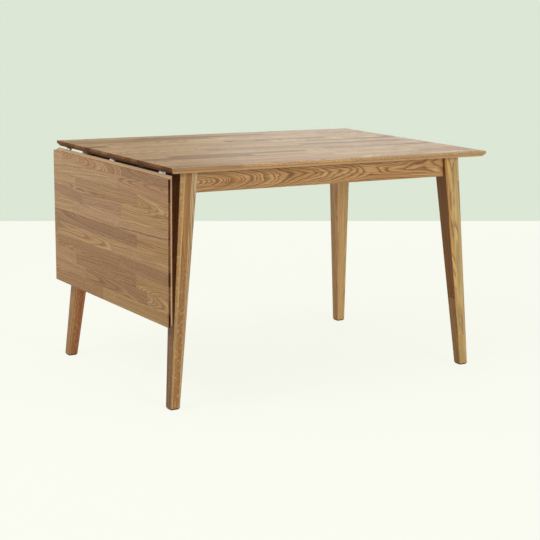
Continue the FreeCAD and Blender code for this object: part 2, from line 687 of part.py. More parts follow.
def clip_places():
    """Each clip's point on its rail's inner face, its direction inwards and its direction along."""
    places = []
    inner_y = HALF_WIDTH - SIDE_HEAD_INSET - RAIL_SETBACK - RAIL_THICKNESS
    for side in (FRONT, BACK):
        for x in spread(TOP_X0 + SIDE_CLIP_INSET, TOP_X1 - SIDE_CLIP_INSET, CLIPS_PER_SIDE):
            foot = Vector(x, side * inner_y, UNDERSIDE)
            places.append((foot, Vector(0, -side, 0), Vector(1, 0, 0)))
    for end in (LEAF_END, PLAIN_END):
        edge_x = TOP_X0 if end == LEAF_END else TOP_X1
        inner_x = edge_x - end * (HEAD_INSETS[end] + RAIL_SETBACK + RAIL_THICKNESS)
        for y in spread(END_CLIP_INSET - HALF_WIDTH, HALF_WIDTH - END_CLIP_INSET, CLIPS_PER_END):
            places.append((Vector(inner_x, y, UNDERSIDE), Vector(-end, 0, 0), Vector(0, 1, 0)))
    return places


def clip_screw_place(foot, inward):
    """Head of a clip's screw."""
    reach = CLIP_THICKNESS + CLIP_FOOT / 2.0
    return foot + inward * reach + Vector(0, 0, -CLIP_THICKNESS)


def clip_screw_hole(foot, inward):
    """Hole for a clip's screw."""
    return screw_hole(clip_screw_place(foot, inward), Vector(0, 0, 1), CLIP_SCREW_LENGTH)


def top_clip(foot, inward, along):
    """Bent clip: a tongue in the rail's groove, a web down the rail and a foot under the top."""
    tongue_top = -CLIP_GROOVE_DROP - CLIP_GAP
    tongue_low = tongue_top - CLIP_THICKNESS
    profile = [
        (-CLIP_TONGUE, tongue_low),
        (CLIP_THICKNESS, tongue_low),
        (CLIP_THICKNESS, -CLIP_THICKNESS),
        (CLIP_THICKNESS + CLIP_FOOT, -CLIP_THICKNESS),
        (CLIP_THICKNESS + CLIP_FOOT, 0.0),
        (0.0, 0.0),
        (0.0, tongue_top),
        (-CLIP_TONGUE, tongue_top),
    ]
    corner = foot - along * (CLIP_WIDTH / 2.0)
    outline = [corner + inward * reach + Vector(0, 0, z) for reach, z in profile]
    return largest(prism(outline, along * CLIP_WIDTH).cut(clip_screw_hole(foot, inward)))


# ---- Assembly ----------------------------------------------------------------------------------
def top_holes():
    """Every screw hole in the underside of the top."""
    holes = []
    for y in HINGE_PLACES.values():
        holes += hinge_holes(y, 1)
    for y in BAR_PLACES.values():
        for start in guide_starts().values():
            holes += guide_screw_holes(y, start)
    for foot, inward, along in clip_places():
        holes.append(clip_screw_hole(foot, inward))
    return holes


def add_panels(pieces):
    """Top and leaf."""
    leaf_holes = []
    for y in HINGE_PLACES.values():
        leaf_holes += hinge_holes(y, -1)
    pieces["table_top"] = [table_top(top_holes())]
    pieces["drop_leaf"] = [drop_leaf(leaf_holes)]


def add_frame(pieces):
    """Legs, rails, corner blocks, glides and what bolts them together."""
    for end, side in CORNERS:
        name = END_NAMES[end] + "_" + SIDE_NAMES[side]
        pieces["leg_" + name] = [leg(end, side)]
        pieces["corner_block_" + name] = [corner_block(end, side)]
        pieces["glide_" + name] = [glide(end, side)]
    for side in (FRONT, BACK):
        holes = block_screw_holes(LEAF_END, side) + block_screw_holes(PLAIN_END, side)
        pieces[SIDE_NAMES[side] + "_rail"] = [side_rail(side, holes)]
    for end in (LEAF_END, PLAIN_END):
        holes = block_screw_holes(end, FRONT) + block_screw_holes(end, BACK)
        pieces[END_NAMES[end] + "_end_rail"] = [end_rail(end, holes)]
    pieces["cross_rail"] = [cross_rail()]
    for name, maker in (("leg_bolts", leg_bolts), ("leg_washers", leg_washers), ("leg_nuts", leg_nuts)):
        pieces[name] = [piece for corner in CORNERS for piece in maker(*corner)]
    pieces["block_screws"] = [screw(head, way, BLOCK_SCREW_LENGTH)
                              for corner in CORNERS for head, way in block_screw_places(*corner)]


def add_hinges(pieces):
    """Three hinges, with their screws."""
    up = Vector(0, 0, 1)
    top_screws = []
    leaf_screws = []
    for name, y in HINGE_PLACES.items():
        pieces["hinge_top_plate_" + name] = [hinge_plate(y, 1)]
        pieces["hinge_leaf_plate_" + name] = [lowered(hinge_plate(y, -1))]
        pieces["hinge_pin_" + name] = [hinge_pin(y)]
        top_screws += [screw(head, up, HINGE_SCREW_LENGTH) for head in hinge_screw_places(y, 1)]
        leaf_screws += [lowered(screw(head, up, HINGE_SCREW_LENGTH)) for head in hinge_screw_places(y, -1)]
    pieces["hinge_top_screws"] = top_screws
    pieces["hinge_leaf_screws"] = leaf_screws


def add_supports(pieces):
    """Support bars with their stops, guides and guide screws."""
    up = Vector(0, 0, 1)
    screws = []
    for name, y in BAR_PLACES.items():
        pieces["support_bar_" + name] = [support_bar(y)]
        pieces["bar_stop_" + name] = [stop_rivet(y)]
        for place, start in guide_starts().items():
            pieces["bar_guide_" + name + "_" + place] = [bar_guide(y, start)]
            screws += [screw(head, up, GUIDE_SCREW_LENGTH) for head in guide_screw_places(y, start)]
    pieces["guide_screws"] = screws


def add_clips(pieces):
    """Clips that hold the top to the rails, with their screws."""
    pieces["top_clips"] = [top_clip(*place) for place in clip_places()]
    pieces["clip_screws"] = [screw(clip_screw_place(foot, inward), Vector(0, 0, 1), CLIP_SCREW_LENGTH)
                             for foot, inward, along in clip_places()]


def main():
    """Model every piece and write one STEP file for each node."""
    os.makedirs("parts", exist_ok=True)
    pieces = {}
    for add in (add_panels, add_frame, add_hinges, add_supports, add_clips):
        add(pieces)
    for name, solids in pieces.items():
        shape = solids[0] if len(solids) == 1 else Part.makeCompound(solids)
        shape.exportStep("parts/" + name + ".step")
        print(name, len(solids), round(shape.Volume, 1), shape.isValid())


main()
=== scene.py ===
"""Oak dining table with one drop leaf: its finishes and fittings, and the studio around it.

Metres, +Z up, +X along the table away from the leaf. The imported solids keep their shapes. This script
gives each one its wood, steel or plastic, makes the cut screws and threaded bolts, and sets the floor,
the lamps and the camera.
"""
import logging
import math
import random
from collections.abc import Callable, Sequence
from dataclasses import asdict, dataclass, replace
from enum import Enum

import bmesh
import bpy
from mathutils import Matrix, Quaternion, Vector


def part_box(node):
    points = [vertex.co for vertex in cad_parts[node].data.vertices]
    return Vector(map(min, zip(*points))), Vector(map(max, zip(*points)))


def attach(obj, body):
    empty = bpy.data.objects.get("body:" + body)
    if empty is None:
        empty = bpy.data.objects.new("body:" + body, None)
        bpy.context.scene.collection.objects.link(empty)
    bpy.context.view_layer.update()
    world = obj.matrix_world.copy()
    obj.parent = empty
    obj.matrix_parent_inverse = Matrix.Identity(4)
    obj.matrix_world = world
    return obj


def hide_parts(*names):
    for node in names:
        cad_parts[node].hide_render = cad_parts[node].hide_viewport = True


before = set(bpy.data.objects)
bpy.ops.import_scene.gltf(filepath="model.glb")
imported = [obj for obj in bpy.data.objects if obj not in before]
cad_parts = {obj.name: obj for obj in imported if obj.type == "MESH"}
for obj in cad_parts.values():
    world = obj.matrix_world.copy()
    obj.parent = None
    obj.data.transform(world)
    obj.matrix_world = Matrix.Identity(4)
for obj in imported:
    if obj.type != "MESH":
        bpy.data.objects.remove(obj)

MILLIMETRE = 0.001
LOG = logging.getLogger("drop_leaf_table")

Colour = tuple[float, float, float]
Direction = tuple[float, float, float]

ORIGIN: Direction = (0.0, 0.0, 0.0)
LENGTHWAYS: Direction = (1.0, 0.0, 0.0)
CROSSWAYS: Direction = (0.0, 1.0, 0.0)
UPWARDS: Direction = (0.0, 0.0, 1.0)


def paint(red: int, green: int, blue: int) -> Colour:
    """Linear colour of a display colour.

    Args:
        red: 0 to 255.
        green: 0 to 255.
        blue: 0 to 255.

    Returns:
        The colour as the shader takes it.
    """
    linear = []
    for level in (red, green, blue):
        share = level / 255.0
        linear.append(share / 12.92 if share <= 0.04045 else ((share + 0.055) / 1.055) ** 2.4)
    return tuple(linear)


WHITE = paint(255, 255, 255)


# ---- Node graphs ---------------------------------------------------------------------------------
def operator(operation: str, swapped: bool = False) -> Callable[["Term", object], "Term"]:
    """Makes a plain operator of Term.

    Args:
        operation: Blender's name of the sum.
        swapped: Whether the other value comes first.

    Returns:
        The operator.
    """
    def summed(term: "Term", other: object) -> "Term":
        """Adds the node of the sum."""
        return term.graph.math(operation, *((other, term) if swapped else (term, other)))
    return summed


@dataclass(frozen=True, eq=False)
class Term:
    """A node's output, which plain operators join into sums."""

    graph: "Graph"
    socket: bpy.types.NodeSocket

    __add__ = operator("ADD")
    __sub__, __rsub__ = operator("SUBTRACT"), operator("SUBTRACT", swapped=True)
    __mul__ = operator("MULTIPLY")
    __truediv__ = operator("DIVIDE")


class Graph:
    """Adds nodes to one tree and joins them."""

    def __init__(self, tree: bpy.types.NodeTree) -> None:
        """Takes the shader or geometry node tree to work on."""
        self.tree = tree

    def feed(self, socket: bpy.types.NodeSocket, value: object) -> None:
        """Sets an input, by a link or as a plain value.

        Args:
            socket: The input.
            value: Another node's output, a number, a vector, a colour or a material.
        """
        if isinstance(value, Term):
            self.tree.links.new(value.socket, socket)
        else:
            socket.default_value = (*value, 1.0) if socket.type == "RGBA" else value

    def set(self, made: bpy.types.Node, *values: object, **named: object) -> bpy.types.Node:
        """Sets a node's inputs.

        Args:
            made: The node.
            values: What its first inputs get, in order.
            named: What other inputs get, by name with underscores for spaces.

        Returns:
            The node.
        """
        for socket, value in zip(made.inputs, values):
            self.feed(socket, value)
        for name, value in named.items():
            self.feed(made.inputs[name.replace("_", " ")], value)
        return made

    def node(self, kind: str, settings: dict[str, object], *values: object,
             **named: object) -> bpy.types.Node:
        """New node.

        Args:
            kind: Blender's name of the node's type.
            settings: Properties of the node.
            values: What its first inputs get, in order.
            named: What other inputs get, by name.

        Returns:
            The node.
        """
        made = self.tree.nodes.new(kind)
        for name, value in settings.items():
            setattr(made, name, value)
        return self.set(made, *values, **named)

    def make(self, kind: str, *values: object, settings: dict[str, object] | None = None, out: int | str = 0,
             **named: object) -> Term:
        """New node as node() makes it, of which one output is wanted."""
        return Term(self, self.node(kind, settings or {}, *values, **named).outputs[out])

    def all(self, made: bpy.types.Node) -> dict[str, Term]:
        """Every output of a node by its name."""
        return {socket.name: Term(self, socket) for socket in made.outputs}

    def math(self, operation: str, *values: object, clamp: bool = False) -> Term:
        """One sum on numbers, kept between 0 and 1 if clamp is set."""
        return self.make("ShaderNodeMath", *values, settings={"operation": operation, "use_clamp": clamp})

    def vector(self, operation: str, *values: object) -> Term:
        """One sum on vectors."""
        out = "Value" if operation in ("DOT_PRODUCT", "LENGTH") else "Vector"
        return self.make("ShaderNodeVectorMath", *values, settings={"operation": operation}, out=out)

    def scaled(self, vector: object, along: float, across: float | None = None) -> Term:
        """A vector times one scale, or times one on its first axis and another on the two others."""
        aside = along if across is None else across
        return self.vector("MULTIPLY", vector, (along, aside, aside))

    def split(self, vector: object) -> tuple[Term, ...]:
        """The three parts of a vector."""
        return tuple(self.all(self.node("ShaderNodeSeparateXYZ", {}, vector)).values())

    def join(self, *parts: object) -> Term:
        """A vector of three parts."""
        return self.make("ShaderNodeCombineXYZ", *parts)

    def mix(self, share: object, first: object, second: object, blend: str = "MIX") -> Term:
        """Blend of two colours.

        Args:
            share: How much of the second, from 0 to 1.
            first: Colour.
            second: Colour.
            blend: Blender's name of the way to blend.

        Returns:
            The colour.
        """
        made = self.node("ShaderNodeMix", {"data_type": "RGBA", "blend_type": blend})
        for place, value in ((0, share), (6, first), (7, second)):
            self.feed(made.inputs[place], value)
        return Term(self, made.outputs[2])

    def ease(self, value: object, low: object, high: object, start: float = 0.0, finish: float = 1.0) -> Term:
        """Smooth step of a value between low and high, from start to finish."""
        return self.make("ShaderNodeMapRange", value, low, high, start, finish,
                         settings={"interpolation_type": "SMOOTHSTEP"})

    def noise(self, place: object, detail: float = 2.0, roughness: float = 0.5, out: str = "Fac") -> Term:
        """Noise at scale 1 over a vector that already has its scale."""
        return self.make("ShaderNodeTexNoise", out=out, Vector=place, Scale=1.0, Detail=detail,
                         Roughness=roughness)

    def uneven(self, number: object, detail: float, roughness: float = 0.5) -> Term:
        """Noise at scale 1 along a number."""
        return self.make("ShaderNodeTexNoise", settings={"noise_dimensions": "1D"}, out="Fac", W=number,
                         Scale=1.0, Detail=detail, Roughness=roughness)

    def ramp(self, value: object, stops: list[tuple[float, Colour]], ease: str = "LINEAR") -> Term:
        """Colour ramp.

        Args:
            value: Number from 0 to 1.
            stops: Position and colour of each stop, in order.
            ease: Blender's name of the way between stops.

        Returns:
            The colour.
        """
        made = self.node("ShaderNodeValToRGB", {}, value)
        made.color_ramp.interpolation = ease
        elements = made.color_ramp.elements
        while len(elements) < len(stops):
            elements.new(1.0)
        for element, (place, colour) in zip(elements, stops):
            element.position = place
            element.color = (*colour, 1.0)
        return Term(self, made.outputs[0])

    def group(self, tree: bpy.types.NodeTree, **named: object) -> dict[str, Term]:
        """Places a shared group and gives its outputs."""
        return self.all(self.node("ShaderNodeGroup", {"node_tree": tree}, **named))

    def seen(self) -> Term:
        """Tells the rays that the camera sees, directly or in a gloss, from those that light the table.

        Returns:
            1 where the camera looks.
        """
        path = self.all(self.node("ShaderNodeLightPath", {}))
        return self.math("MAXIMUM", path["Is Camera Ray"],
                         self.math("MAXIMUM", path["Is Glossy Ray"], path["Is Transmission Ray"]))


class SharedGroup:
    """A shader group with named inputs and outputs."""

    def __init__(self, name: str, inputs: dict[str, object], outputs: dict[str, str]) -> None:
        """Makes the empty group.

        Args:
            name: The group's name.
            inputs: Each input's name and default: a number or a vector of three.
            outputs: Each output's name and kind: Float, Vector or Color.
        """
        self.tree = bpy.data.node_groups.new(name, "ShaderNodeTree")
        for label, default in inputs.items():
            kind = "NodeSocketFloat" if isinstance(default, float) else "NodeSocketVector"
            socket = self.tree.interface.new_socket(name=label, in_out="INPUT", socket_type=kind)
            socket.default_value = default
        for label, kind in outputs.items():
            self.tree.interface.new_socket(name=label, in_out="OUTPUT", socket_type="NodeSocket" + kind)
        self.graph = Graph(self.tree)
        self.given = self.graph.all(self.graph.node("NodeGroupInput", {}))

    def give(self, **values: Term) -> bpy.types.NodeTree:
        """Joins the group's outputs, each by its name, and gives the finished group."""
        self.graph.node("NodeGroupOutput", {}, **values)
        return self.tree


class Mark(Enum):
    """How each mark shows: low and high end of a smooth step, and the strengths it goes from and to."""

    SEAM = (0.0001, 0.0006, 1.0, 0.0)
    JOINT = (0.0002, 0.0009, 1.0, 0.0)
    RING_START = (0.0, 0.14)
    RING_END = (0.14, 0.70, 1.0, 0.0)
    FIBRE = (0.25, 0.60, 0.45, 1.0)
    PORE = (0.53, 0.63)
    PORE_IN_RING = (0.0, 0.5, 0.25, 1.0)
    RAY = (0.50, 0.72)
    QUARTER_SAWN = (0.55, 0.95)
    CUT_END = (0.84, 0.95)
    TILTED = (0.35, 0.55)
    ARRIS = (0.995, 0.95)
    BAND = (0.32, 0.68)
    STREAK = (0.34, 0.66)
    ABOVE_FOOT = (-0.0005, 0.0005, 0.25, 1.0)
    FOOT_JOINT = (0.0006, 0.0018, 0.5, 0.0)
    FLECK = (0.49, 0.60)
    EDGE_LINE = (0.0008, 0.0022, 1.0, 0.0)
    DULL_STEEL = (0.35, 0.75)
    WORN_PLASTIC = (0.5, 0.8)

    def of(self, value: Term) -> Term:
        """Strength of the mark for a value."""
        return value.graph.ease(value, *self.value)


def grain_frame_group() -> bpy.types.NodeTree:
    """Builds the group that turns a place on the table into a place in the wood.

    Returns:
        The group. Its place in the wood runs along, across and into the grain.
    """
    ways = {"Along": LENGTHWAYS, "Across": CROSSWAYS, "Depth": UPWARDS}
    shared = SharedGroup("Grain frame", {"Place": ORIGIN, "Origin": ORIGIN, **ways}, {"Grain": "Vector"})
    g, given = shared.graph, shared.given
    local = g.vector("SUBTRACT", given["Place"], given["Origin"])
    return shared.give(Grain=g.join(*(g.vector("DOT_PRODUCT", local, given[way]) for way in ways)))


def stave_group() -> bpy.types.NodeTree:
    """Builds the group that lays out glued staves: rows across the grain, each cut into lengths along it.

    Returns:
        The group. Chance is each stave's own, Stave is the place in it, Seam and Joint show its edges.
    """
    shared = SharedGroup(
        "Stave layout",
        {"Grain": ORIGIN, "Stave Width": 0.042, "Stave Length": 0.45, "Row Shift": 0.0, "Seed": 0.0},
        {"Chance": "Vector", "Stave": "Vector", "Seam": "Float", "Joint": "Float"},
    )
    g, given = shared.graph, shared.given
    width, length = given["Stave Width"], given["Stave Length"]
    seed_step, shift_reach, unevenness = 17.0, 40.0, 0.8
    along, across, depth = g.split(given["Grain"])
    rows = across / width + given["Row Shift"]
    row = g.math("FLOOR", rows)
    share = rows - row
    key = row + given["Seed"] * seed_step
    shift = g.make("ShaderNodeTexWhiteNoise", settings={"noise_dimensions": "1D"}, W=key)
    lengths = along / length + shift * shift_reach
    cell, border = (g.all(g.node("ShaderNodeTexVoronoi", {"voronoi_dimensions": "1D", "feature": feature},
                                 W=lengths, Scale=1.0, Randomness=unevenness))
                    for feature in ("F1", "DISTANCE_TO_EDGE"))
    red, green, _ = g.split(cell["Color"])
    chance = g.make("ShaderNodeTexWhiteNoise", settings={"noise_dimensions": "3D"}, out="Color",
                    Vector=g.join(red, green, key))
    stave = g.join((lengths - cell["W"]) * length, (share - 0.5) * width, depth)
    edge = g.math("MINIMUM", share, 1.0 - share) * width
    return shared.give(Chance=chance, Stave=stave, Seam=Mark.SEAM.of(edge),
                       Joint=Mark.JOINT.of(border["Distance"] * length))


class Weave(Enum):
    """Noises of the figure: scale per millimetre along and across the grain, detail and roughness."""

    WANDER = (0.005, 0.018, 1.0, 0.5)
    RIPPLE = (0.022, 0.12, 3.0, 0.5)
    FIBRES = (0.03, 0.8, 3.0, 0.6)
    SPECKS = (0.10, 1.9, 2.0, 0.5)
    STREAKS = (0.005, 0.18, 4.0, 0.62)


def oak_group() -> bpy.types.NodeTree:
    """Builds the group for the figure of oak: growth rings round a pith, pores, rays and changes of tone.

    It works in millimetres inside. The rings are laid round a pith line that lies askew under the stave,
    so flat faces show arches, edges show straight lines and ends show arcs.

    Returns:
        The group. Each output says how strongly one mark shows.
    """
    shared = SharedGroup(
        "Oak figure",
        {"Stave": ORIGIN, "Chance": (0.5, 0.5, 0.5), "Ring Width": 3.2, "Pith Depth": 13.0,
         "Pith Spread": 110.0, "Lean": 0.24, "Bow": 0.0},
        {"Early": "Float", "Band": "Float", "Pore": "Float", "Ray": "Float", "Streak": "Float"},
    )
    g, given = shared.graph, shared.given
    chance_reach, number_reach = 400.0, 300.0
    wander_aside, wander_below, ripple_reach = 11.0, 15.0, 2.2
    ray_step, ray_turns, band_step = 0.11, 26.0, 0.11
    narrowest, width_range = 0.7, 0.8
    year_step, year_reach, deeper_share = 0.35, 2.4, 0.3
    place = g.scaled(given["Stave"], 1.0 / MILLIMETRE)
    first, second, third = g.split(given["Chance"])
    along, across, depth = g.split(place)
    shift = g.scaled(given["Chance"], chance_reach)

    def woven(weave: Weave, out: str = "Fac") -> Term:
        """Lays out one noise of the figure, at its own place in each stave.

        Args:
            weave: The noise.
            out: Fac for one number, Color for three.

        Returns:
            The noise.
        """
        along_scale, cross_scale, detail, roughness = weave.value
        at = g.vector("ADD", g.scaled(place, along_scale, cross_scale), shift)
        return g.noise(at, detail, roughness, out)

    wander, ripple = (g.split(g.vector("SUBTRACT", woven(weave, "Color"), (0.5, 0.5, 0.5)))
                      for weave in (Weave.WANDER, Weave.RIPPLE))
    spread, lean = given["Pith Spread"], given["Lean"]
    pith_aside = along * ((third - 0.5) * (lean * 0.5)) + (second - 0.5) * spread
    pith_below = along * along * given["Bow"] + (third * (spread * deeper_share) + given["Pith Depth"])
    from_side = across - pith_aside + wander[0] * wander_aside + ripple[0] * ripple_reach
    from_below = along * ((first - 0.5) * lean) + (depth + pith_below) + wander[1] * wander_below
    from_below = from_below + ripple[1] * ripple_reach
    radius = g.vector("LENGTH", g.join(from_side, from_below, 0.0))
    turn = g.math("ARCTAN2", from_side, from_below)

    rings = radius / (given["Ring Width"] * (second * width_range + narrowest))
    years = g.uneven(first * number_reach + rings * year_step, 1.0) * year_reach
    phase = g.math("FRACT", years + rings)
    line = Mark.RING_START.of(phase) * Mark.RING_END.of(phase)
    early = line * Mark.FIBRE.of(woven(Weave.FIBRES))
    band = g.uneven(third * number_reach + radius * band_step, 3.0, 0.62)
    pore = Mark.PORE.of(woven(Weave.SPECKS)) * Mark.PORE_IN_RING.of(early)
    ray_place = g.join(along * ray_step, turn * ray_turns, radius * ray_step)
    rays = g.noise(g.vector("ADD", ray_place, shift), 1.0)
    split_open = g.math("ABSOLUTE", from_side / radius)
    ray = Mark.RAY.of(rays) * Mark.QUARTER_SAWN.of(split_open)
    return shared.give(Early=early, Band=band, Pore=pore, Ray=ray, Streak=woven(Weave.STREAKS))


def end_grain_group() -> bpy.types.NodeTree:
    """Builds the group that tells which faces look along a direction, and which are bevels that half do.

    Returns:
        The group.
    """
    shared = SharedGroup("End grain", {"Along": LENGTHWAYS}, {"End": "Float", "Bevel": "Float"})
    g = shared.graph
    turned = g.make("ShaderNodeVectorTransform", g.make("ShaderNodeNewGeometry", out="True Normal"),
                    settings={"vector_type": "NORMAL", "convert_from": "WORLD", "convert_to": "OBJECT"})
    straight = g.math("ABSOLUTE", g.vector("DOT_PRODUCT", turned, shared.given["Along"]))
    end = Mark.CUT_END.of(straight)
    return shared.give(End=end, Bevel=Mark.TILTED.of(straight) - end)


def arris_group() -> bpy.types.NodeTree:
    """Builds the group that finds the arrises of a solid, where the colour is darkened.

    Returns:
        The group.
    """
    shared = SharedGroup("Arris", {"Reach": 0.0025}, {"Arris": "Float"})
    g = shared.graph
    rounded = g.make("ShaderNodeBevel", settings={"samples": 4}, Radius=shared.given["Reach"])
    facing = g.vector("DOT_PRODUCT", rounded, g.make("ShaderNodeNewGeometry", out="Normal"))
    return shared.give(Arris=Mark.ARRIS.of(facing))


# ---- Finishes ------------------------------------------------------------------------------------
@dataclass(frozen=True)
class GrainFrame:
    """How a piece of wood lies: directions along the grain, across the staves and into them."""

    along: Direction
    across: Direction
    depth: Direction
    origin: tuple[float, float, float] = ORIGIN


class Lay(Enum):
    """The ways that straight pieces lie in the table."""

    TOP = GrainFrame(LENGTHWAYS, CROSSWAYS, UPWARDS)
    HANGING_LEAF = GrainFrame(CROSSWAYS, UPWARDS, LENGTHWAYS)
    SIDE_RAIL = GrainFrame(LENGTHWAYS, UPWARDS, CROSSWAYS)
    END_RAIL = GrainFrame(CROSSWAYS, UPWARDS, LENGTHWAYS)


@dataclass(frozen=True)
class OakFinish:
    """Matt oiled oak: the tones of its staves and how strongly the figure shows.

    Flat faces look across the staves, bevels half do, and ends and end bevels look along the grain.
    """

    tones: tuple[Colour, ...]
    band_tint: Colour = paint(205, 178, 150)
    streak_tint: Colour = paint(205, 190, 172)
    strip_tint: Colour = paint(205, 185, 165)
    pore_colour: Colour = paint(92, 60, 36)
    ray_colour: Colour = paint(222, 192, 148)
    seam_colour: Colour = paint(88, 56, 34)
    arris_colour: Colour = paint(124, 76, 48)
    stave_width: float = 0.0423
    stave_length: float = 0.45
    row_shift: float = 0.5
    seed: float = 1.0
    board: tuple[float, float, float] | None = None
    strips: bool = False
    ring_width: float = 3.2
    pith_depth: float = 13.0
    pith_spread: float = 110.0
    lean: float = 0.24
    bow: float = 0.0
    figure: float = 1.0
    band_share: float = 0.45
    ring_share: float = 0.72
    ring_colour: Colour = paint(118, 78, 46)
    streak_share: float = 0.45
    strip_share: float = 0.35
    ray_share: float = 0.25
    pore_share: float = 0.3
    seam_share: float = 0.22
    arris_share: float = 0.3
    end_colour: Colour = paint(146, 112, 84)
    flat_colour: Colour = WHITE
    flat_lift: float = 0.0
    fleck_share: float = 0.0
    fleck_colour: Colour = paint(244, 212, 150)
    fleck_start: float = -0.37
    fleck_fade: float = 0.02
    fleck_scales: tuple[float, float] = (230.0, 300.0)
    foot_joint: float = 0.0
    edge_line: float = 0.0
    edge_line_depth: float = -0.001
    # The bevel colour paints a highlight on the bevels that run along the grain.
    bevel_share: float = 0.0
    bevel_colour: Colour = paint(240, 214, 184)
    # The end bevel colour paints shade where it is dark (the top's end bevels, the legs' foot chamfers) and a
    # highlight where it is light (the leaf's end bevels).
    end_bevel_shade_and_highlight_share: float = 0.0
    end_bevel_shade_and_highlight: Colour = paint(232, 204, 180)
    end_darkness: float = 0.9
    roughness: float = 0.52
    specular: float = 0.28
    sawn_specular: float = 0.1
    refraction: float = 1.45
    bump: tuple[float, float] = (0.25, 0.0002)


@dataclass(frozen=True)
class SteelFinish:
    """Plated steel."""

    colour: Colour = paint(188, 190, 190)
    roughness: float = 0.34
    dark_share: float = 0.62
    mark_share: float = 0.35
    dull_share: float = 0.25
    dull_scale: float = 160.0
    dull_roughness: float = 0.16
    bump: tuple[float, float] = (0.2, 0.0001)


@dataclass(frozen=True)
class PlasticFinish:
    """Moulded plastic."""

    colour: Colour = paint(34, 22, 15)
    roughness: float = 0.5
    worn_share: float = 0.4
    worn_paleness: float = 1.7
    worn_scale: float = 220.0
    texture_scale: float = 2500.0
    texture_roughness: float = 0.2
    bump: tuple[float, float] = (0.3, 0.0001)


Layer = tuple[object, Colour, str]


@dataclass(frozen=True, eq=False)
class OakCoat:
    """The colour of one oak material, laid on in layers.

    A layer is its share, its tint and Blender's name of the way to blend it in. Marks holds the strength
    of each mark of the wood and each kind of face, and every stave's Pick from 0 to 1.
    """

    g: Graph
    finish: OakFinish
    grain: Term
    marks: dict[str, object]

    def base_tone(self) -> Term:
        """Lays the staves' own tones.

        Returns:
            One tone for each strip in order, or a tone picked by chance for each stave.
        """
        g, finish, pick = self.g, self.finish, self.marks["Pick"]
        tones = finish.tones if len(finish.tones) > 1 else finish.tones * 2
        if not finish.strips:
            return g.ramp(pick, [(index / (len(tones) - 1), tone) for index, tone in enumerate(tones)])
        level = g.split(self.grain)[1]
        across = g.math("ADD", level / (finish.stave_width * len(tones)), 0.5, clamp=True)
        stops = [(index / len(tones), tone) for index, tone in enumerate(tones)]
        return g.mix(pick * finish.strip_share, g.ramp(across, stops, "CONSTANT"), finish.strip_tint,
                     "MULTIPLY")

    def figure_layers(self) -> list[Layer]:
        """The wood's own marks, and the seams between its staves."""
        finish, marks = self.finish, self.marks
        return [
            (marks["Band"] * (finish.band_share * finish.figure), finish.band_tint, "MULTIPLY"),
            (marks["Early"] * (finish.ring_share * finish.figure), finish.ring_colour, "MIX"),
            (marks["Streak"] * finish.streak_share, finish.streak_tint, "MULTIPLY"),
            (marks["Ray"] * finish.ray_share, finish.ray_colour, "MIX"),
            (marks["Pore"] * (finish.pore_share * finish.figure), finish.pore_colour, "MIX"),
            (marks["Seam"] * finish.seam_share, finish.seam_colour, "MIX"),
        ]

    def face_layers(self) -> list[Layer]:
        """Lays what only the flat faces show: a joint above the foot, their tint, which paints shade on the
        front legs' sides, and flecks.

        Returns:
            The layers in order.
        """
        g, finish, flat = self.g, self.finish, self.marks["Flat"]
        run = g.split(self.grain)[0]
        layers, tinted = [], flat
        if finish.foot_joint:
            from_joint = run - finish.foot_joint
            tinted = flat * Mark.ABOVE_FOOT.of(from_joint)
            line = Mark.FOOT_JOINT.of(g.math("ABSOLUTE", from_joint))
            layers.append((flat * line, finish.seam_colour, "MIX"))
        layers += [(tinted, finish.flat_colour, "MULTIPLY"),
                   (flat * finish.flat_lift, finish.ray_colour, "MIX")]
        if finish.fleck_share:
            specks = g.noise(g.scaled(self.grain, *finish.fleck_scales), 1.0)
            full = finish.fleck_start + finish.fleck_fade
            begun = g.ease(run, finish.fleck_start, full, 0.0, finish.fleck_share)
            layers.append((Mark.FLECK.of(specks) * (flat * begun), finish.fleck_colour, "MIX"))
        return layers

    def edge_layers(self) -> list[Layer]:
        """Lays the painted highlight on bevels, the painted shade and highlight on end bevels, the line
        beside the bevels, cut ends and darkened arrises.

        Returns:
            The layers in order.
        """
        g, finish, marks = self.g, self.finish, self.marks
        # Painted highlight on the bevels, then painted shade and highlight on the end bevels.
        layers = [(marks["Bevel"] * finish.bevel_share, finish.bevel_colour, "MIX"),
                  (marks["End Bevel"] * finish.end_bevel_shade_and_highlight_share, finish.end_bevel_shade_and_highlight, "MIX")]
        if finish.edge_line:
            from_line = g.math("ABSOLUTE", g.split(self.grain)[2] - finish.edge_line_depth)
            line = Mark.EDGE_LINE.of(from_line) * finish.edge_line
            beside = g.math("MAXIMUM", marks["Flat"], marks["Bevel"])
            layers.append((line * beside, finish.seam_colour, "MIX"))
        end_range, end_lift = 0.4, 0.1
        cut = g.math("ADD", marks["Pick"] * -end_range, finish.end_darkness + end_lift, clamp=True)
        return [*layers, (marks["End"] * cut, finish.end_colour, "MULTIPLY"),
                (marks["Arris"] * finish.arris_share, finish.arris_colour, "MIX")]

    def colour(self) -> Term:
        """Lays every layer over the base tone.

        Returns:
            The colour.
        """
        colour = self.base_tone()
        for share, tint, blend in [*self.figure_layers(), *self.face_layers(), *self.edge_layers()]:
            colour = self.g.mix(share, colour, tint, blend)
        return colour


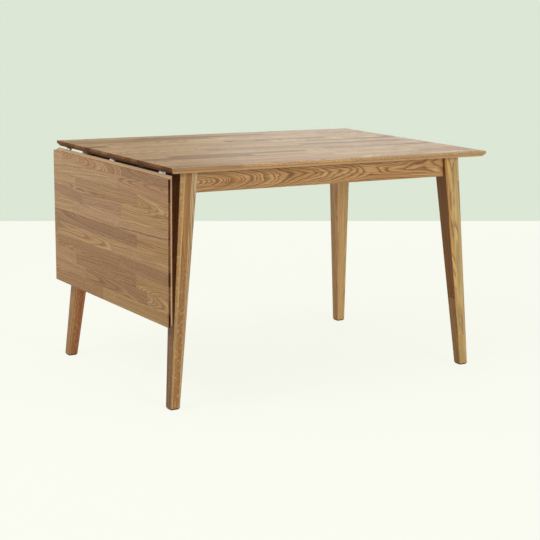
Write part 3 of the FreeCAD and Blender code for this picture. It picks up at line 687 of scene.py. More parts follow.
class Workshop:
    """Makes the materials from their finishes and the shared groups."""

    def __init__(self) -> None:
        """Builds the shared groups once."""
        self.grain_frame, self.staves = grain_frame_group(), stave_group()
        self.figure, self.end_grain, self.arris = oak_group(), end_grain_group(), arris_group()

    @staticmethod
    def blank(name: str) -> tuple[bpy.types.Material, Graph, Term]:
        """New material.

        Args:
            name: Its name.

        Returns:
            The material, its graph and its Object coordinates.
        """
        material = bpy.data.materials.new(name)
        material.use_nodes = True
        graph = Graph(material.node_tree)
        return material, graph, graph.make("ShaderNodeTexCoord", out="Object")

    @staticmethod
    def surface(g: Graph, height: Term, bump: tuple[float, float], **named: object) -> None:
        """Sets a material's shader.

        Args:
            g: The material's graph.
            height: What its bump follows.
            bump: How strong the bump is, and how high.
            named: The shader's other inputs.
        """
        strength, distance = bump
        raised = g.make("ShaderNodeBump", Strength=strength, Distance=distance, Height=height)
        g.set(g.tree.nodes["Principled BSDF"], Normal=raised, **named)

    def oak_marks(self, g: Graph, finish: OakFinish, lay: GrainFrame, grain: Term) -> dict[str, object]:
        """Finds what an oak piece shows at each point.

        Args:
            g: The material's graph.
            finish: How its staves are laid and how they were sawn.
            lay: How the grain runs.
            grain: Place in the wood.

        Returns:
            The strength of each mark and each kind of face by name, and every stave's Pick.
        """
        stave, chance, seam = grain, finish.board, 0.0
        if finish.board is None:
            staves = g.group(self.staves, Grain=grain, Stave_Width=finish.stave_width, Seed=finish.seed,
                             Stave_Length=finish.stave_length, Row_Shift=finish.row_shift)
            stave, chance = staves["Stave"], staves["Chance"]
            seam = g.math("MAXIMUM", staves["Seam"], staves["Joint"])
        marks = g.group(self.figure, Stave=stave, Chance=chance, Ring_Width=finish.ring_width,
                        Pith_Depth=finish.pith_depth, Pith_Spread=finish.pith_spread, Lean=finish.lean,
                        Bow=finish.bow)
        ends, sides = (g.group(self.end_grain, Along=Vector(way).normalized())
                       for way in (lay.along, lay.across))
        pick_turns = 7.0
        return {**marks, **g.group(self.arris), "Seam": seam,
                "Band": Mark.BAND.of(marks["Band"]), "Streak": Mark.STREAK.of(marks["Streak"]),
                "End": ends["End"], "End Bevel": ends["Bevel"], "Flat": sides["End"], "Bevel": sides["Bevel"],
                "Pick": g.math("FRACT", g.split(chance)[0] * pick_turns)}

    def oak(self, name: str, finish: OakFinish, lay: GrainFrame) -> bpy.types.Material:
        """Oak for one piece or a few that lie the same way.

        Args:
            name: The material's name.
            finish: Tones and figure.
            lay: How the grain runs.

        Returns:
            The material.
        """
        material, g, place = self.blank(name)
        grain = g.group(self.grain_frame, Place=place, Origin=lay.origin, Along=lay.along,
                        Across=lay.across, Depth=lay.depth)["Grain"]
        marks = self.oak_marks(g, finish, lay, grain)
        ring_groove, pore_groove, seam_groove = -0.3, -1.0, -1.5
        grooves = marks["Early"] * ring_groove + (marks["Pore"] * pore_groove + marks["Seam"] * seam_groove)
        end_dull, band_dull, pore_dull = 0.15, 0.06, 0.12
        dull = marks["Band"] * band_dull + (marks["Pore"] * pore_dull + finish.roughness)
        sawn = g.math("MAXIMUM", marks["End"], marks["End Bevel"])
        self.surface(g, grooves, finish.bump, Base_Color=OakCoat(g, finish, grain, marks).colour(),
                     Roughness=marks["End"] * end_dull + dull, IOR=finish.refraction,
                     Specular_IOR_Level=sawn * (finish.sawn_specular - finish.specular) + finish.specular)
        return material

    def steel(self, name: str, finish: SteelFinish, scales: tuple[float, float, float]) -> bpy.types.Material:
        """Rolled and plated steel, faintly brushed.

        Args:
            name: The material's name.
            finish: Colour and roughness.
            scales: Scale of the noise on each axis, small along the brushing.

        Returns:
            The material.
        """
        material, g, place = self.blank(name)
        marks = g.noise(g.vector("MULTIPLY", place, scales))
        dull = Mark.DULL_STEEL.of(g.noise(g.scaled(place, finish.dull_scale), 3.0))
        dark = tuple(finish.dark_share * level for level in finish.colour)
        brushed = g.mix(marks * finish.mark_share, finish.colour, dark)
        self.surface(g, marks, finish.bump, Base_Color=g.mix(dull * finish.dull_share, brushed, dark),
                     Metallic=1.0, Roughness=dull * finish.dull_roughness + finish.roughness)
        return material

    def plastic(self, name: str, finish: PlasticFinish) -> bpy.types.Material:
        """Moulded plastic with a fine spark texture.

        Args:
            name: The material's name.
            finish: Colour and roughness.

        Returns:
            The material.
        """
        material, g, place = self.blank(name)
        texture = g.noise(g.scaled(place, finish.texture_scale))
        worn = Mark.WORN_PLASTIC.of(g.noise(g.scaled(place, finish.worn_scale), 3.0))
        pale = tuple(min(1.0, finish.worn_paleness * level) for level in finish.colour)
        colour = g.mix(worn * finish.worn_share, finish.colour, pale)
        self.surface(g, texture, finish.bump, Base_Color=colour,
                     Roughness=texture * finish.texture_roughness + finish.roughness)
        return material


def centred(node: str, lay: GrainFrame) -> GrainFrame:
    """A grain frame with its origin in the middle of a piece."""
    low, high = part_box(node)
    return replace(lay, origin=tuple((low + high) / 2.0))


def middle_of(points: Sequence[Vector]) -> Vector:
    """Middle of the box round some points."""
    return Vector([(min(place) + max(place)) / 2.0 for place in zip(*points)])


def dress(node: str, material: bpy.types.Material) -> None:
    """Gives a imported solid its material.

    Args:
        node: The solid's name.
        material: Its finish.
    """
    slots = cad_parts[node].data.materials
    if not slots:
        slots.append(material)
    for index in range(len(slots)):
        slots[index] = material
    LOG.info("dressed %s with %s", node, material.name)


def shown(name: str, data: bpy.types.ID, place: Matrix = Matrix()) -> bpy.types.Object:
    """Puts an object in the scene.

    Args:
        name: The object's name.
        data: Its mesh, lamp or camera.
        place: Where it stands.

    Returns:
        The object.
    """
    made = bpy.data.objects.new(name, data)
    made.matrix_world = place
    bpy.context.scene.collection.objects.link(made)
    return made


# ---- Sub-assemblies ------------------------------------------------------------------------------
SAND = paint(206, 170, 122)
TAN = paint(214, 162, 97)
# Dark brown that paints the shade in the gap under the leaf's hinge edge, on the rail seen through it.
GAP_SHADE_BROWN = paint(86, 56, 48)
TOP_TONES = (paint(236, 202, 152), paint(154, 109, 64), paint(220, 174, 130), paint(216, 178, 124),
             paint(240, 206, 158))
LEAF_TONES = (TAN, paint(186, 134, 78), paint(225, 175, 119), paint(226, 180, 116), paint(215, 165, 96))


@dataclass(frozen=True)
class LegWood:
    """The three staves of a leg, from -X to +X, a tint that paints the shade on its side faces, and a joint
    above its foot.
    """

    strips: tuple[Colour, Colour, Colour]
    flat: Colour = WHITE
    seed: float = 7.0
    figure: float = 1.0
    foot_joint: float = 0.0


# The front legs' side tints paint the colour of the shade on their side faces: purplish beside the leaf, dark
# and warm on the plain end.
LEG_WOOD = {
    "leg_leaf_front": LegWood((paint(202, 166, 104), paint(188, 140, 80), paint(222, 196, 150)),
                              paint(214, 196, 206), 21.0),
    "leg_leaf_back": LegWood((paint(212, 160, 98), paint(188, 122, 74), paint(194, 130, 84)), seed=13.0),
    "leg_plain_front": LegWood((paint(226, 184, 116), paint(226, 200, 136), paint(221, 194, 138)),
                               paint(212, 186, 160), foot_joint=0.234),
    # The back plain leg's pale staves and weak figure are its own pale tone, lifted further to paint the
    # light its faces lack under the rails.
    "leg_plain_back": LegWood((paint(250, 200, 138), paint(244, 206, 142), paint(238, 200, 134)), seed=31.0,
                              figure=0.6),
}


@dataclass
class Panels:
    """The fixed top and the drop leaf, glued up from staves."""

    workshop: Workshop
    # On the top, the bevel colour paints a highlight on the long bevels, and the dark end bevel colour paints
    # the shade under the left and right edges.
    top_finish: OakFinish = OakFinish(TOP_TONES, seed=3.0, streak_share=0.8, ray_share=0.22, specular=0.43,
                                      flat_colour=paint(255, 248, 186), flat_lift=0.1, fleck_share=0.5,
                                      edge_line=0.42, bevel_share=0.5, bevel_colour=paint(255, 206, 150),
                                      end_bevel_shade_and_highlight_share=0.8, end_bevel_shade_and_highlight=paint(84, 46, 18),
                                      end_colour=paint(190, 147, 100))
    # On the leaf, the bevel colour paints a highlight on its bevels, and the end bevel share a faint painted
    # highlight on its end bevels.
    leaf_finish: OakFinish = OakFinish(LEAF_TONES, seed=11.0, row_shift=0.426, figure=0.9, bevel_share=0.5,
                                       bevel_colour=paint(240, 211, 172), end_bevel_shade_and_highlight_share=0.3,
                                       end_colour=paint(84, 58, 42), end_darkness=1.0)

    def build(self) -> None:
        """Dresses both panels."""
        for node, finish, lay in (("table_top", self.top_finish, Lay.TOP),
                                  ("drop_leaf", self.leaf_finish, Lay.HANGING_LEAF)):
            dress(node, self.workshop.oak("oak " + node, finish, centred(node, lay.value)))


@dataclass
class Underframe:
    """Four splayed legs, four rails, the cross rail, the corner blocks and the glides."""

    workshop: Workshop
    rail_finish: OakFinish = OakFinish((paint(214, 172, 116),), board=(0.683, 0.5, 0.56), ring_width=2.3,
                                       lean=0.32, bow=-0.00013, pith_depth=66.0, pith_spread=68.0,
                                       ring_share=0.82, ring_colour=paint(112, 74, 42), streak_share=0.7)
    # The dark end bevel colour paints the shade on the foot chamfers, which face the floor.
    leg_finish: OakFinish = OakFinish((SAND, TAN, SAND), strips=True, stave_width=0.0198, stave_length=0.9,
                                      pith_spread=240.0, pith_depth=25.0, lean=0.05, ray_share=0.35,
                                      end_bevel_shade_and_highlight_share=0.85, end_bevel_shade_and_highlight=paint(58, 34, 22))
    # The leaf end rail, seen only through the gap by the hinges, is painted dark brown to stand for the shade
    # there.
    gap_shade_finish: OakFinish = OakFinish((GAP_SHADE_BROWN,), board=(0.4, 0.6, 0.3))
    block_finish: OakFinish = OakFinish((TAN,), board=(0.4, 0.6, 0.5))
    glide_finish: PlasticFinish = PlasticFinish()

    def leg_lay(self, node: str) -> GrainFrame:
        """How the grain of a leg runs: along its sloped axis.

        Args:
            node: The leg's name.

        Returns:
            Its grain frame, with the origin at the foot.
        """
        points = [vertex.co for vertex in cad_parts[node].data.vertices]
        low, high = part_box(node)
        reach = 2.0 * MILLIMETRE
        foot = middle_of([point for point in points if point.z < low.z + reach])
        head = middle_of([point for point in points if point.z > high.z - reach])
        slope = (head - foot) / (head.z - foot.z)
        return GrainFrame(UPWARDS, (1.0, 0.0, -slope.x), (0.0, 1.0, -slope.y), tuple(foot))

    def build(self) -> None:
        """Dresses every wooden piece of the frame, and the glides."""
        for node, finish, lay in (("front_rail", self.rail_finish, Lay.SIDE_RAIL),
                                  ("back_rail", self.rail_finish, Lay.SIDE_RAIL),
                                  ("leaf_end_rail", self.gap_shade_finish, Lay.END_RAIL),
                                  ("plain_end_rail", self.rail_finish, Lay.END_RAIL),
                                  ("cross_rail", self.rail_finish, Lay.END_RAIL)):
            dress(node, self.workshop.oak("oak " + node, finish, centred(node, lay.value)))
        glide = self.workshop.plastic("glide plastic", self.glide_finish)
        half = math.sqrt(0.5)
        for leg, wood in LEG_WOOD.items():
            finish = replace(self.leg_finish, tones=wood.strips, flat_colour=wood.flat, seed=wood.seed,
                             figure=wood.figure, foot_joint=wood.foot_joint)
            dress(leg, self.workshop.oak("oak " + leg, finish, self.leg_lay(leg)))
            x_way = half if "leaf" in leg else -half
            y_way = half if "front" in leg else -half
            lay = GrainFrame((x_way, -y_way, 0.0), UPWARDS, (x_way, y_way, 0.0))
            block = leg.replace("leg", "corner_block", 1)
            dress(block, self.workshop.oak("oak " + block, self.block_finish, centred(block, lay)))
            dress(leg.replace("leg", "glide", 1), glide)


# ---- Fasteners -----------------------------------------------------------------------------------
class Way(Enum):
    """The ways that fasteners go in."""

    UP = "up"
    INTO_HANGING_LEAF = "into the hanging leaf"
    INTO_CORNER = "into the corner"

    def aim(self, middle: Vector) -> Vector:
        """Direction from the head to the tip.

        Args:
            middle: Middle of the fastener.

        Returns:
            The direction, one metre long.
        """
        if self is Way.UP:
            return Vector(UPWARDS)
        if self is Way.INTO_HANGING_LEAF:
            return -Vector(LENGTHWAYS)
        return Vector((math.copysign(1.0, middle.x), math.copysign(1.0, middle.y), 0.0)).normalized()


@dataclass(frozen=True)
class Seat:
    """Where a fastener sits: the middle of its outer end, the way it goes in, and a way across it."""

    head: Vector
    aim: Vector
    side: Vector


def separate_solids(node: str) -> list[list[Vector]]:
    """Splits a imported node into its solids.

    Args:
        node: The node's name.

    Returns:
        The corner points of each solid, ordered by place.
    """
    shape = bmesh.new()
    shape.from_mesh(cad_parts[node].data)
    bmesh.ops.remove_doubles(shape, verts=shape.verts, dist=MILLIMETRE / 1000.0)
    waiting = set(shape.verts)
    solids = []
    while waiting:
        reached = [waiting.pop()]
        points = []
        while reached:
            vertex = reached.pop()
            points.append(vertex.co.copy())
            others = {edge.other_vert(vertex) for edge in vertex.link_edges} & waiting
            waiting -= others
            reached.extend(others)
        solids.append(points)
    shape.free()
    return sorted(solids, key=lambda solid: tuple(middle_of(solid)))


class FastenerTree:
    """Geometry node tree that turns a fastener from named sizes and puts one on every seat.

    The fastener is turned about its axis, with the middle of its outer end at the origin and +Z going in.
    """

    def __init__(self, name: str, sizes: dict[str, float]) -> None:
        """Makes the tree's inputs and output.

        Args:
            name: The tree's name.
            sizes: Each size's name and default.
        """
        self.tree = bpy.data.node_groups.new(name, "GeometryNodeTree")
        face = self.tree.interface
        face.new_socket(name="Seats", in_out="INPUT", socket_type="NodeSocketGeometry")
        for label, size in sizes.items():
            face.new_socket(name=label, in_out="INPUT", socket_type="NodeSocketFloat").default_value = size
        face.new_socket(name="Finish", in_out="INPUT", socket_type="NodeSocketMaterial")
        face.new_socket(name="Fasteners", in_out="OUTPUT", socket_type="NodeSocketGeometry")
        self.graph = Graph(self.tree)
        self.given = self.graph.all(self.graph.node("NodeGroupInput", {}))
        self.turn: Term | None = None
        self.ring: Term | None = None

    def start(self, segments: int, rings: int) -> Term:
        """Lays out the grid that becomes a turned surface.

        Args:
            segments: Faces round the axis.
            rings: Rings along the outline.

        Returns:
            The flat grid. Its angle and ring number are kept for the outline.
        """
        g = self.graph
        across, up, _ = g.split(g.make("GeometryNodeInputPosition"))
        self.turn = across * (2.0 * math.pi) + math.pi
        self.ring = g.math("ROUND", (up + 0.5) * (rings - 1.0))
        return g.make("GeometryNodeMeshGrid", 1.0, 1.0, segments + 1, rings)

    def by_ring(self, values: Sequence[object]) -> Term:
        """A number that depends on the ring.

        Args:
            values: One entry for each ring.

        Returns:
            The number.
        """
        switch = self.graph.node("GeometryNodeIndexSwitch", {"data_type": "FLOAT"})
        while len(switch.index_switch_items) < len(values):
            switch.index_switch_items.new()
        return Term(self.graph, self.graph.set(switch, self.ring, *values).outputs[0])

    def turned(self, flat: Term, radius: Term, height: Term) -> Term:
        """Rolls the grid up into a closed turned surface.

        Args:
            flat: The grid.
            radius: Distance from the axis.
            height: Distance along it.

        Returns:
            The surface.
        """
        g = self.graph
        place = g.join(radius * g.math("COSINE", self.turn), radius * g.math("SINE", self.turn), height)
        rolled = g.make("GeometryNodeSetPosition", Geometry=flat, Position=place)
        return g.make("GeometryNodeMergeByDistance", Geometry=rolled, Distance=0.01 * MILLIMETRE)

    def thread(self, start: Term, length: Term) -> Term:
        """Winds the ridge of a thread round the core.

        Args:
            start: Where it begins along the axis.
            length: How far it runs.

        Returns:
            The ridge.
        """
        g, given = self.graph, self.given
        core = given["Core Radius"]
        wound = g.make("GeometryNodeCurveSpiral", Resolution=12, Rotations=length / given["Pitch"],
                       Height=length, Start_Radius=core, End_Radius=core)
        level = g.make("GeometryNodeSetCurveNormal", settings={"mode": "Z_UP"}, Curve=wound)
        outline = g.make("GeometryNodeCurvePrimitiveCircle", Resolution=4,
                         Radius=given["Thread Radius"] - core)
        rolled = g.make("GeometryNodeCurveToMesh", Curve=level, Profile_Curve=outline, Fill_Caps=True)
        return g.make("GeometryNodeTransform", Geometry=rolled, Translation=g.join(0.0, 0.0, start))

    def place(self, *parts: Term) -> bpy.types.NodeTree:
        """Puts a copy on every seat, and ends the tree.

        Args:
            parts: The surfaces that make up the fastener.

        Returns:
            The finished tree.
        """
        g, given = self.graph, self.given
        whole = g.node("GeometryNodeJoinGeometry", {})
        for part in parts:
            g.feed(whole.inputs[0], part)
        stored = {"data_type": "FLOAT_VECTOR"}
        aim, side = (g.make("GeometryNodeInputNamedAttribute", settings=stored, Name=label)
                     for label in ("aim", "side"))
        turn = "FunctionNodeAlignRotationToVector"
        aimed = g.make(turn, settings={"axis": "Z"}, Vector=aim)
        rolled = g.make(turn, settings={"axis": "X", "pivot_axis": "Z"}, Rotation=aimed, Vector=side)
        placed = g.make("GeometryNodeInstanceOnPoints", Points=given["Seats"], Rotation=rolled,
                        Instance=Term(g, whole.outputs[0]))
        real = g.make("GeometryNodeRealizeInstances", Geometry=placed)
        finished = g.make("GeometryNodeSetMaterial", Geometry=real, Material=given["Finish"])
        g.node("NodeGroupOutput", {}, finished)
        return self.tree


@dataclass(frozen=True)
class Fastener:
    """A turned steel fastener. Its sizes, in millimetres, are the named inputs of its node tree."""

    def sizes(self, length: float) -> dict[str, float]:
        """The tree's named sizes in metres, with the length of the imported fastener."""
        named = {label.replace("_", " ").title(): size * MILLIMETRE for label, size in asdict(self).items()}
        return {"Length": length, **named}

    def shape(self, made: FastenerTree) -> tuple[Term, ...]:
        """Draws the fastener in its tree."""
        raise NotImplementedError

    def fit(self, node: str, body: str, way: Way, material: bpy.types.Material, seed: int | None) -> None:
        """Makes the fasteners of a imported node.

        Args:
            node: The node that they stand for.
            body: What they ride on.
            way: How they go in.
            material: Their finish.
            seed: Seed of the turn of each recess, or None to stand each one level.
        """
        chance = random.Random(seed)
        seats, length = [], 0.0
        for points in separate_solids(node):
            aim = way.aim(middle_of(points))
            depths = [point.dot(aim) for point in points]
            outer = [point for point, depth in zip(points, depths) if depth < min(depths) + 0.01 * MILLIMETRE]
            length = max(depths) - min(depths)
            side = aim.cross(Vector(UPWARDS)) if way is Way.INTO_CORNER else aim.orthogonal()
            if seed is not None:
                side = Quaternion(aim, chance.uniform(0.0, math.pi)) @ side
            seats.append(Seat(middle_of(outer), aim, side))
        sizes = self.sizes(length)
        tree = FastenerTree(node + " tree", sizes)
        made = placed_by(tree.place(*self.shape(tree)), node, seats, {**sizes, "Finish": material})
        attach(made, body)
        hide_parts(node)
        LOG.info("fitted %d of %s on %s", len(seats), node, body)


def placed_by(tree: bpy.types.NodeTree, node: str, seats: list[Seat],
              given: dict[str, object]) -> bpy.types.Object:
    """Runs a fastener tree over its seats and keeps the plain mesh.

    Args:
        tree: The finished tree.
        node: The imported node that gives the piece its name.
        seats: Where the fasteners sit.
        given: Each named input, with the finish.

    Returns:
        The piece, with no modifier on it.
    """
    points = bpy.data.meshes.new(node + "_seats")
    points.from_pydata([seat.head for seat in seats], [], [])
    for label in ("aim", "side"):
        stored = points.attributes.new(label, "FLOAT_VECTOR", "POINT")
        for entry, seat in zip(stored.data, seats):
            entry.vector = getattr(seat, label)
    made = shown("cut_" + node, points)
    modifier = made.modifiers.new("fasteners", "NODES")
    modifier.node_group = tree
    for socket in tree.interface.items_tree:
        if socket.in_out == "INPUT" and socket.name in given:
            modifier[socket.identifier] = given[socket.name]
    shaped = made.evaluated_get(bpy.context.evaluated_depsgraph_get())
    plain = bpy.data.meshes.new_from_object(shaped)
    plain.materials.clear()
    plain.materials.append(given["Finish"])
    plain.polygons.foreach_set("material_index", [0] * len(plain.polygons))
    made.modifiers.clear()
    made.data = plain
    bpy.data.meshes.remove(points)
    return made


@dataclass(frozen=True)
class WoodScrew(Fastener):
    """Countersunk wood screw with a cross recess."""

    head_radius: float = 3.4
    thread_radius: float = 1.75
    core_radius: float = 1.2
    pitch: float = 1.6
    plain_length: float = 3.2
    tip_length: float = 3.0
    recess_radius: float = 1.95
    recess_depth: float = 1.5
    arris: float = 0.12

    def shape(self, made: FastenerTree) -> tuple[Term, ...]:
        """Draws the head with its recess, the core and the thread.

        Args:
            made: The tree.

        Returns:
            The turned surface and the ridge.
        """
        g, given = made.graph, made.given
        head, shank, core = given["Head Radius"], given["Thread Radius"], given["Core Radius"]
        recess, depth, arris = given["Recess Radius"], given["Recess Depth"], given["Arris"]
        threaded = given["Plain Length"] + (shank - core)
        taper = given["Length"] - given["Tip Length"]
        lobe_share, lobe_sharpness = 0.62, 3.0
        rings = [
            (0.0, depth, 0.0),
            (recess * 0.5, depth * 0.8, 1.0),
            (recess, 0.0, 1.0),
            (arris * -2.0 + head, 0.0, 0.0),
            (head - arris, arris, 0.0),
            (shank, head - shank, 0.0),
            (shank, given["Plain Length"], 0.0),
            (core, threaded, 0.0),
            (core, taper, 0.0),
            (0.0, given["Length"], 0.0),
        ]
        flat = made.start(32, len(rings))
        radius, height, crossed = (made.by_ring(column) for column in zip(*rings))
        lobe = g.math("POWER", g.math("ABSOLUTE", g.math("COSINE", made.turn * 2.0)), lobe_sharpness)
        narrow = crossed * (lobe * -lobe_share + lobe_share)
        body = made.turned(flat, radius * (1.0 - narrow), height)
        return body, made.thread(threaded, taper - threaded)


@dataclass(frozen=True)
class LegBolt(Fastener):
    """Rod with a machine thread at the end that takes the nut."""

    thread_radius: float = 4.0
    core_radius: float = 3.45
    pitch: float = 1.25
    thread_length: float = 17.0
    chamfer: float = 0.7

    def shape(self, made: FastenerTree) -> tuple[Term, ...]:
        """Draws the rod and the thread.

        Args:
            made: The tree.

        Returns:
            The turned surface and the ridge.
        """
        given = made.given
        crest, core, chamfer = given["Thread Radius"], given["Core Radius"], given["Chamfer"]
        threaded, length = given["Thread Length"], given["Length"]
        rings = [
            (0.0, 0.0),
            (core - chamfer, 0.0),
            (core, chamfer),
            (core, threaded),
            (crest, threaded + chamfer),
            (crest, length - chamfer),
            (crest - chamfer, length),
            (0.0, length),
        ]
        flat = made.start(24, len(rings))
        radius, height = (made.by_ring(column) for column in zip(*rings))
        return made.turned(flat, radius, height), made.thread(chamfer, threaded - chamfer)


@dataclass(frozen=True)
class HexagonNut(Fastener):
    """Hexagon nut with chamfered corners."""

    flat_radius: float = 6.5
    bore_radius: float = 4.03
    chamfer_radius: float = 6.15
    bore_chamfer: float = 0.5

    def shape(self, made: FastenerTree) -> tuple[Term, ...]:
        """Draws the nut, with one corner level.

        Args:
            made: The tree.

        Returns:
            The closed surface.
        """
        g, given = made.graph, made.given
        bore, chamfer, length = given["Bore Radius"], given["Bore Chamfer"], given["Length"]
        outer, wide, half_corner = given["Chamfer Radius"], bore + chamfer, math.pi / 6.0
        ring_count = 9
        flat = made.start(48, ring_count)
        lean = g.math("WRAP", made.turn - half_corner, half_corner, -half_corner)
        hexagon = given["Flat Radius"] / g.math("COSINE", lean)
        fall = (hexagon - outer) * math.tan(half_corner)
        rings = [(wide, 0.0), (outer, 0.0), (hexagon, fall), (hexagon, length - fall), (outer, length),
                 (wide, length), (bore, length - chamfer), (bore, chamfer), (wide, 0.0)]
        radius, height = (made.by_ring(column) for column in zip(*rings))
        return (made.turned(flat, radius, height),)


@dataclass
class Hardware:
    """Hinges, support bars with their guides, clips, bolts and screws."""

    workshop: Workshop
    hinge_finish: SteelFinish = SteelFinish(paint(164, 166, 166), 0.38)
    # Dark steel for the support bars; its darkness also paints the shade in the gap under the hinge edge,
    # where the bar ends show.
    bar_finish: SteelFinish = SteelFinish(paint(36, 33, 31), 0.55)
    fastener_finish: SteelFinish = SteelFinish(paint(196, 190, 170))
    short_screw: WoodScrew = WoodScrew()
    block_screw: WoodScrew = WoodScrew(plain_length=14.0)
    bolt: LegBolt = LegBolt()
    nut: HexagonNut = HexagonNut()

    def build(self) -> None:
        """Dresses every steel piece by its name, then makes the screws, bolts and nuts."""
        hinge = self.workshop.steel("hinge steel", self.hinge_finish, (900.0, 60.0, 900.0))
        bar = self.workshop.steel("support steel", self.bar_finish, (40.0, 1200.0, 1200.0))
        fastener = self.workshop.steel("fastener steel", self.fastener_finish, (300.0, 300.0, 300.0))
        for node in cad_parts:
            if node.startswith("hinge") and not node.endswith("screws"):
                dress(node, hinge)
            elif node.startswith(("support_bar", "bar_")):
                dress(node, bar)
            elif node.endswith(("screws", "clips")) or node in ("leg_bolts", "leg_washers", "leg_nuts"):
                dress(node, fastener)
        for kind, node, body, way, seed in (
                (self.short_screw, "hinge_top_screws", "table", Way.UP, 3),
                (self.short_screw, "hinge_leaf_screws", "leaf", Way.INTO_HANGING_LEAF, 5),
                (self.short_screw, "guide_screws", "table", Way.UP, 7),
                (self.short_screw, "clip_screws", "table", Way.UP, 11),
                (self.block_screw, "block_screws", "table", Way.INTO_CORNER, 13),
                (self.bolt, "leg_bolts", "table", Way.INTO_CORNER, None),
                (self.nut, "leg_nuts", "table", Way.INTO_CORNER, None)):
            kind.fit(node, body, way, fastener, seed)


# ---- Studio --------------------------------------------------------------------------------------
@dataclass(frozen=True)
class View:
    """The camera: its place, how it is turned and what part of the image circle it keeps."""

    place: tuple[float, float, float] = (-2.5414, -4.1202, 1.2709)
    yaw: float = math.radians(33.60)
    pitch: float = math.radians(14.03)
    roll: float = math.radians(1.28)
    focal_pixels: float = 1416.42
    centre_pixels: tuple[float, float] = (312.73, 342.85)
    frame_pixels: float = 540.0
    sensor: float = 36.0

    def axes(self) -> tuple[Vector, Vector, Vector]:
        """Works out how the camera is turned.

        Returns:
            Its right, up and forward directions.
        """
        forward = Vector((math.sin(self.yaw) * math.cos(self.pitch),
                          math.cos(self.yaw) * math.cos(self.pitch), -math.sin(self.pitch)))
        level = Vector((math.cos(self.yaw), -math.sin(self.yaw), 0.0))
        above = level.cross(forward)
        right = math.cos(self.roll) * level + math.sin(self.roll) * above
        up = math.cos(self.roll) * above - math.sin(self.roll) * level
        return right, up, forward

    def floor_point(self, x: float, y: float) -> Vector:
        """Point of the floor that an image point shows.

        Args:
            x: Across the image in pixels.
            y: Down the image in pixels.

        Returns:
            The point, at height 0.
        """
        right, up, forward = self.axes()
        across = (x - self.centre_pixels[0]) / self.focal_pixels
        down = (y - self.centre_pixels[1]) / self.focal_pixels
        ray = forward + across * right - down * up
        place = Vector(self.place)
        return place - ray * (place.z / ray.z)


@dataclass(frozen=True)
class Lamp:
    """Square soft lamp that points at the table."""

    name: str
    place: tuple[float, float, float]
    side: float
    power: float

    def build(self, aim: Vector) -> None:
        """Hangs the lamp.

        Args:
            aim: What it points at.
        """
        data = bpy.data.lights.new(self.name, "AREA")
        data.shape = "SQUARE"
        data.size = self.side
        data.energy = self.power
        turn = (aim - Vector(self.place)).to_track_quat("-Z", "Y").to_matrix().to_4x4()
        shown(self.name, data, Matrix.Translation(self.place) @ turn)


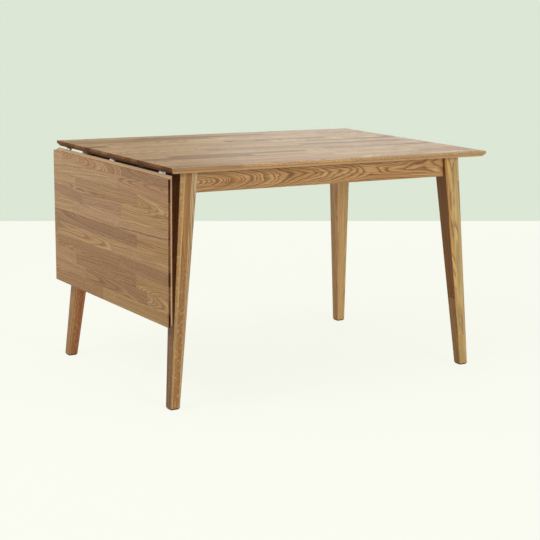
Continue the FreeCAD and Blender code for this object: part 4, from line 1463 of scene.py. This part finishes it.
@dataclass
class Studio:
    """Cream floor, pale green surround, soft lamps and the camera."""

    view: View = View()
    floor_colour: Colour = paint(250, 251, 241)
    surround_colour: Colour = paint(220, 231, 214)
    floor_tint: Colour = paint(150, 148, 142)
    light_colour: Colour = (1.0, 0.99, 0.97)
    shadow_share: float = 0.12
    floor_glow: float = 1.03
    floor_line: float = 221.0
    floor_side: float = 14.0
    ambient: float = 0.34
    far_clip: float = 100.0
    aim: tuple[float, float, float] = (0.0, 0.0, 0.5)
    lamps: tuple[Lamp, ...] = (
        Lamp("overhead", (0.3, -0.3, 3.4), 3.0, 10.0),
        Lamp("front", (0.6, -7.4, 1.7), 3.1, 326.0),
        Lamp("high_left", (-3.0, -0.4, 3.4), 1.6, 46.0),
        Lamp("back_left", (-2.6, 3.6, 0.6), 1.1, 34.0),
        Lamp("far_right", (3.4, 4.4, 1.3), 2.0, 58.0),
    )

    def camera(self) -> None:
        """Makes the camera and gives it to the scene."""
        view = self.view
        right, up, forward = view.axes()
        data = bpy.data.cameras.new("camera")
        data.sensor_width = view.sensor
        data.lens = view.focal_pixels / view.frame_pixels * view.sensor
        half = view.frame_pixels / 2.0
        data.shift_x = (half - view.centre_pixels[0]) / view.frame_pixels
        data.shift_y = (view.centre_pixels[1] - half) / view.frame_pixels
        data.clip_end = self.far_clip
        turn = Matrix((right, up, -forward)).transposed().to_4x4()
        bpy.context.scene.camera = shown("camera", data, Matrix.Translation(view.place) @ turn)

    def floor(self) -> None:
        """Lays a large floor whose far edge is the level line behind the table."""
        left = self.view.floor_point(0.0, self.floor_line)
        right = self.view.floor_point(self.view.frame_pixels, self.floor_line)
        middle = (left + right) / 2.0
        along = (right - left).normalized() * self.floor_side
        nearer = Vector((along.y, -along.x, 0.0)).normalized() * 2.0 * self.floor_side
        mesh = bpy.data.meshes.new("floor")
        corners = [middle - along, middle + along, middle + along + nearer, middle - along + nearer]
        mesh.from_pydata(corners, [], [(3, 2, 1, 0)])
        material = bpy.data.materials.new("cream floor")
        material.use_nodes = True
        nodes = material.node_tree.nodes
        g = Graph(material.node_tree)
        shader = g.set(nodes["Principled BSDF"], Base_Color=self.floor_tint, Roughness=0.9,
                       Specular_IOR_Level=0.0)
        glow = g.make("ShaderNodeEmission", Color=self.floor_colour, Strength=self.floor_glow)
        lit = g.make("ShaderNodeBsdfDiffuse", Color=self.floor_colour)
        pale = g.make("ShaderNodeMixShader", self.shadow_share, glow, lit)
        blend = g.make("ShaderNodeMixShader", g.seen(), Term(g, shader.outputs[0]), pale)
        g.set(nodes["Material Output"], Surface=blend)
        mesh.materials.append(material)
        shown("floor", mesh)

    def world(self) -> None:
        """Even light from all round, with the surround's colour where the camera or a gloss sees it."""
        world = bpy.data.worlds.new("surround")
        bpy.context.scene.world = world
        world.use_nodes = True
        nodes = world.node_tree.nodes
        g = Graph(world.node_tree)
        light = g.set(nodes["Background"], Color=self.light_colour, Strength=self.ambient)
        surround = g.make("ShaderNodeBackground", Color=self.surround_colour)
        blend = g.make("ShaderNodeMixShader", g.seen(), Term(g, light.outputs[0]), surround)
        g.set(nodes["World Output"], Surface=blend)

    def build(self) -> None:
        """Sets up the whole studio."""
        self.camera()
        self.floor()
        self.world()
        for lamp in self.lamps:
            lamp.build(Vector(self.aim))
        bpy.context.scene.view_settings.view_transform = "Standard"


def main() -> None:
    """Builds the sub-assemblies in order, then the studio."""
    logging.basicConfig(level=logging.INFO, format="%(message)s")
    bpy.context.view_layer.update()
    workshop = Workshop()
    for part in (Panels(workshop), Underframe(workshop), Hardware(workshop), Studio()):
        part.build()


if __name__ == "__main__":
    main()
